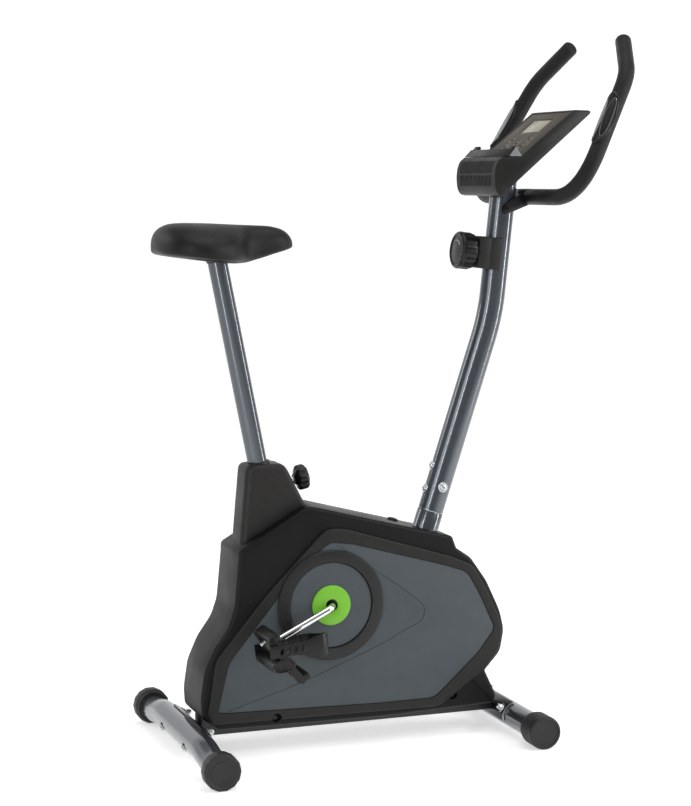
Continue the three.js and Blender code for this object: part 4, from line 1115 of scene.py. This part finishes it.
def pulse_sensors(corners):
    limb = (corners[1] - corners[0]).normalized()
    centre = corners[0] + limb * SENSOR_PLACE * MM
    facing = Vector((-0.92, -0.39, 0))
    normal = (facing - limb * facing.dot(limb)).normalized()
    outward = normal.cross(limb) if normal.cross(limb).y < 0 else limb.cross(normal)

    def patch(u, v, lift):
        """A point over the foam: u along the limb, v round it and lift above it."""
        angle = v / FOAM_RADIUS
        reach = (FOAM_RADIUS + lift) * MM
        return centre + limb * u * MM + (normal * math.cos(angle) + outward * math.sin(angle)) * reach

    def dish(u0, v0, long, wide, levels):
        return loft([[patch(u0 + long * scale * a, v0 + wide * scale * b, lift) for a, b in circle(1, 72)]
                     for scale, lift in levels])

    shell = dish(0, 0, SENSOR_HALF, 21, ((0.2, -1.5), (1.0, -1.5), (1.0, 1.2), (0.97, 2.6), (0.92, 3.2),
                                         (0.88, 3.0), (0.85, 2.2), (0.5, 2.4), (0.2, 2.4)))
    both_sides("sensor_shell_{}", shell, "bar", "black_plastic", ["pulse_sensor_{}"], 34)
    silver = dish(-1, -8.2, 42, 6.4, ((0.2, 1.6), (1.0, 1.6), (1.0, 2.9), (0.94, 3.4), (0.6, 3.8),
                                      (0.2, 3.9)))
    both_sides("sensor_plate_{}", silver, "bar", "steel", (), 34)
    dark = dish(1, PAD_OFFSET, 40, 6.2, ((0.2, 1.6), (1.0, 1.6), (1.0, 2.8), (0.9, 3.3), (0.6, 3.6),
                                         (0.2, 3.7)))
    both_sides("sensor_pad_{}", dark, "bar", "black_plastic", (), 34)
    rim = []
    for a, b in circle(1, 72):
        rim.append([patch(1 + (41 + w) * a, PAD_OFFSET + (6.6 + w) * b, lift)
                    for w, lift in ((0, 2.2), (0, 3.4), (0.9, 3.4), (0.9, 2.2))])
    both_sides("sensor_rim_{}", loft(rim, closed=True), "bar", "chrome", (), 34)


def clamp():
    """A block holds the bar, and two cheeks run back along the mast to a cross bolt."""
    x, z = BAR_AXIS.x, BAR_AXIS.z
    block = softened(prism(rounded([(x - 12, z - 16, 8), (x + 16, z - 16, 9), (x + 16, z + 16, 9),
                                    (x - 12, z + 16, 8)]), -27.8, 27.8), 2.4, 3)
    bore = turned([(0, -60), (13.4, -60), (13.4, 60), (0, 60)], at(x, 0, z), Vector((0, 1, 0)), 48)
    tube_room = turned([(0, -80), (26.2, -80), (26.2, 80), (0, 80)], mast_point(z), MAST_UP, 48)
    block = carved(block, bore, tube_room)
    outline = rounded([(647, 1038, 5), (659, 1035, 5), (x + 6, z - 14, 6), (x + 14, z, 6), (x + 6, z + 14, 6),
                       (x - 6, z + 12, 5), (647, 1051, 5)])
    cheek = carved(softened(prism(outline, -31, -27.2), 1.2, 3), bore)
    piece("clamp_block", together(block, cheek, flipped(cheek)), "frame", "black_paint", ["handlebar_clamp"])
    bolt = hex_bolt(at(654, -31, 1044), RIGHT, 5.6, 4.4)
    piece("clamp_fixing", bolt, "frame", "black_plastic", ["clamp_bolt"])


# ---------- crank and pedals ----------
CRANK_ANGLE = math.radians(204)
CRANK_LENGTH = 160
PEDAL_TURN = math.radians(53)
STRAP_TURN = math.radians(84)
PEDAL_INNER, PEDAL_OUTER = 121.8, 218
CRANK_BEND_Y, ARM_END_Y = 93, 110       # the bar's bend, and its arm's end, from the middle plane
BOSS_Y, NUT_Y, SPINDLE_Y = 103.2, 116.6, 120
STRAP_FOOT, STRAP_SAG = (-17, 0, 16), 18


def crank_end(side, y):
    reach = side * CRANK_LENGTH
    return at(CRANK.x + reach * math.cos(CRANK_ANGLE), -side * y, CRANK.z + reach * math.sin(CRANK_ANGLE))


def crank():
    bends = [at(CRANK.x, side * CRANK_BEND_Y, CRANK.z) for side in (-1, 1)]
    path = bent([crank_end(1, ARM_END_Y), *bends, crank_end(-1, ARM_END_Y)], 17, 17)
    parts = [tube(path, 7, 40)]
    for side in (1, -1):
        out = Vector((0, -side, 0))
        parts.append(turned([(0, 0), (11.4, 0), (12.6, 1.2), (12.6, 12.4), (11.4, 13.6), (0, 13.6)],
                            crank_end(side, BOSS_Y), out, 48))
        parts.append(turned([(0, 0), (8.6, 0), (8.6, 3.6), (7.8, 4.4), (0, 4.4)],
                            crank_end(side, NUT_Y), out, 48, flats(6, 8.6, 1.03)))
        parts.append(turned([(0, 0), (5.8, 0), (5.8, 84), (0, 84)], crank_end(side, SPINDLE_Y), out, 32))
    piece("crank_bar", together(*parts), "crank_set", "chrome", ["crank"], 34)


def pedal_barrel():
    """The oval barrel under the spindle, level but for a small tilt, with a dished outer end."""
    inner, outer = PEDAL_INNER, PEDAL_OUTER
    tilt = math.radians(8)
    rings = []
    for y, scale in ((-outer + 3.2, 0.5), (-outer + 2.6, 0.78), (-outer + 0.8, 0.84), (-outer + 0.2, 0.9),
                     (-outer + 1.2, 0.97), (-outer + 3.4, 1.0), (-inner - 3.4, 1.0), (-inner - 1.2, 0.97),
                     (-inner - 0.2, 0.9)):
        ring = []
        for a, b in circle(1, 72):
            x, z = 25 * scale * a, 13.5 * scale * b
            ring.append(Vector((4 + x * math.cos(tilt) - z * math.sin(tilt), y,
                                -12 + x * math.sin(tilt) + z * math.cos(tilt))) * MM)
        rings.append(ring)
    return loft(rings)


def pedal_shapes():
    """Spindle at the origin, +X along the tread, +Z towards the foot: body and rubber treads."""
    inner, outer = PEDAL_INNER, PEDAL_OUTER
    hub = rounded([(-24, -5, 6), (34, -5, 6), (40, 11, 5), (-30, 11, 5)])
    body = [softened(level(hub, -outer + 9, -inner - 9), 1.4, 2)]
    plate = rounded([(-44, -1, 6), (60, -2, 6), (64, 8, 5), (60, 15, 5), (30, 12), (-30, 12), (-42, 15, 5),
                     (-46, 8, 4)])
    for y in (-outer + 5, -inner - 5):
        body.append(softened(level(plate, y - 3, y + 3), 1, 2))
    treads = []
    for x in (-38, 58):
        bar = rounded([(x - 6.5, 3, 3), (x + 6.5, 3, 3), (x + 6, 23, 3), (x - 6, 23, 3)])
        body.append(softened(level(bar, -outer + 2.4, -inner - 2.4), 1, 2))
        for step in range(9):
            y = -outer + 9 + step * (outer - inner - 18) / 8
            block = rounded([(x - 5, 21, 1), (x + 5, 21, 1), (x + 4.4, 25.2, 1), (x - 4.4, 25.2, 1)])
            treads.append(softened(level(block, y - 3.2, y + 3.2), 0.7, 2))
    return together(*body), together(*treads)


def strap_shape():
    """A U of band over the toes: slotted legs, and a wide ribbed bridge at its end."""
    side, reach, thick = 3.6, 112, 3.0
    y0, y1 = -PEDAL_OUTER - side + thick / 2, -PEDAL_INNER + side - thick / 2
    corners = [Vector((0, y0, -6)) * MM, Vector((0, y0, reach - thick / 2)) * MM,
               Vector((0, y1, reach - thick / 2)) * MM, Vector((0, y1, -6)) * MM]
    path = bent(corners, 25, 25)
    # Resample the straight legs so that the band can widen along them.
    fine = []
    for a, b in zip(path, path[1:]):
        count = max(1, round((b - a).length / (3 * MM)))
        fine += [a.lerp(b, i / count) for i in range(count)]
    fine.append(path[-1])
    rings = []
    for i, point in enumerate(fine):
        tangent = (fine[min(i + 1, len(fine) - 1)] - fine[max(i - 1, 0)]).normalized()
        outward = Vector((1, 0, 0)).cross(tangent)
        grown = max(0.0, min(1.0, (point.z / MM - 66) / 14))
        low, high = -12 - 4 * grown, 12 + 12 * grown
        rib = 0.6 * math.sin(i * 2.1) * grown
        half = thick / 2 + 0.4 * grown
        crown = half + 0.5
        section = ((low, -half), (low + 2.5, -crown), (high - 2.5, -crown), (high, -half),
                   (high, half), (high - 2.5, crown + rib), (low + 2.5, crown + rib), (low, half))
        rings.append([point + Vector((x * MM, 0, 0)) - outward * depth * MM for x, depth in section])
    slots = []
    for z in (16, 29, 42, 55):
        for y in (y0, y1):
            slots.append(loft([[Vector(((0.5 + 6.5 * a + 1.6 * b), y + w, z + 3.4 * b - 2.2 * a)) * MM
                                for a, b in circle(1, 28)] for w in (-6, 6)]))
    border = []
    for z0, z1, x0, x1 in ((6, 64, -11, -9.6), (6, 64, 9.6, 11), (6, 7.4, -9.6, 9.6), (62.6, 64, -9.6, 9.6)):
        bar = level(rectangle(x0, x1, z0, z1), -PEDAL_OUTER - side - 0.6, -PEDAL_OUTER - side + 0.8)
        border.append(softened(bar, 0.3, 2))
    return together(carved(loft(rings), *slots), *border)


def sagged(shape, depth):
    """The strap with its inner leg lower than its outer one; +X is down in the strap's own frame."""
    y0, y1 = -PEDAL_OUTER * MM, -PEDAL_INNER * MM
    points = []
    for p in shape[0]:
        share = min(1.0, max(0.0, (p.y - y0) / (y1 - y0)))
        points.append(Vector((p.x + depth * MM * share * share * (3 - 2 * share), p.y, p.z)))
    return points, shape[1]


def pedals():
    body, treads = pedal_shapes()
    barrel = pedal_barrel()
    strap = sagged(strap_shape(), STRAP_SAG)
    turn = Matrix.Rotation(PEDAL_TURN, 4, "Y")
    strap_place = Matrix.Translation(Vector(STRAP_FOOT) * MM) @ Matrix.Rotation(STRAP_TURN, 4, "Y")
    # A short bright stud at the rear of the tread holds the strap's tail.
    stud = turned([(0, 0), (2.4, 0), (2.4, 8), (3.4, 8.4), (3.4, 10.6), (2.6, 11.4), (0, 11.6)],
                  Vector((-27, -PEDAL_OUTER + 14, 34)) * MM, Vector((-0.84, 0, -0.54)), 24)
    for side, sign in (("right", 1), ("left", -1)):
        end = crank_end(sign, 0)
        place = Matrix.Translation(Vector((end.x, 0, end.z)))

        def put(shape, matrix=Matrix.Identity(4)):
            shape = moved(shape, matrix)
            return moved(shape if sign == 1 else flipped(shape), place)

        carrier = f"pedal_{side}_set"
        piece(f"pedal_body_{side}", put(body, turn), carrier, "black_plastic", [f"pedal_{side}"], 34)
        piece(f"pedal_barrel_{side}", put(barrel), carrier, "black_plastic", (), 34)
        piece(f"pedal_treads_{side}", put(treads, turn), carrier, "foot_rubber", (), 34)
        piece(f"pedal_stud_{side}", put(stud), carrier, "chrome", (), 34)
        piece(f"toe_strap_{side}", put(strap, strap_place), carrier, "black_plastic", [f"strap_{side}"], 40)


# ---------- the whole bike ----------
stage()
stabilisers()
rear_feet()
front_rollers()
casing()
seat_parts()
saddle()
mast()
tension()
console()
handlebar()
crank()
pedals()
for cad_node, cad_finish in (
        ("seat_sleeve", "black_paint"), ("crank_upright", "black_paint"), ("flywheel_bracket", "steel"),
        ("drive_pulley", "black_plastic"), ("flywheel", "steel"), ("drive_belt", "foot_rubber"),
        ("magnet_arm", "zinc")):
    paint_cad(cad_node, cad_finish)
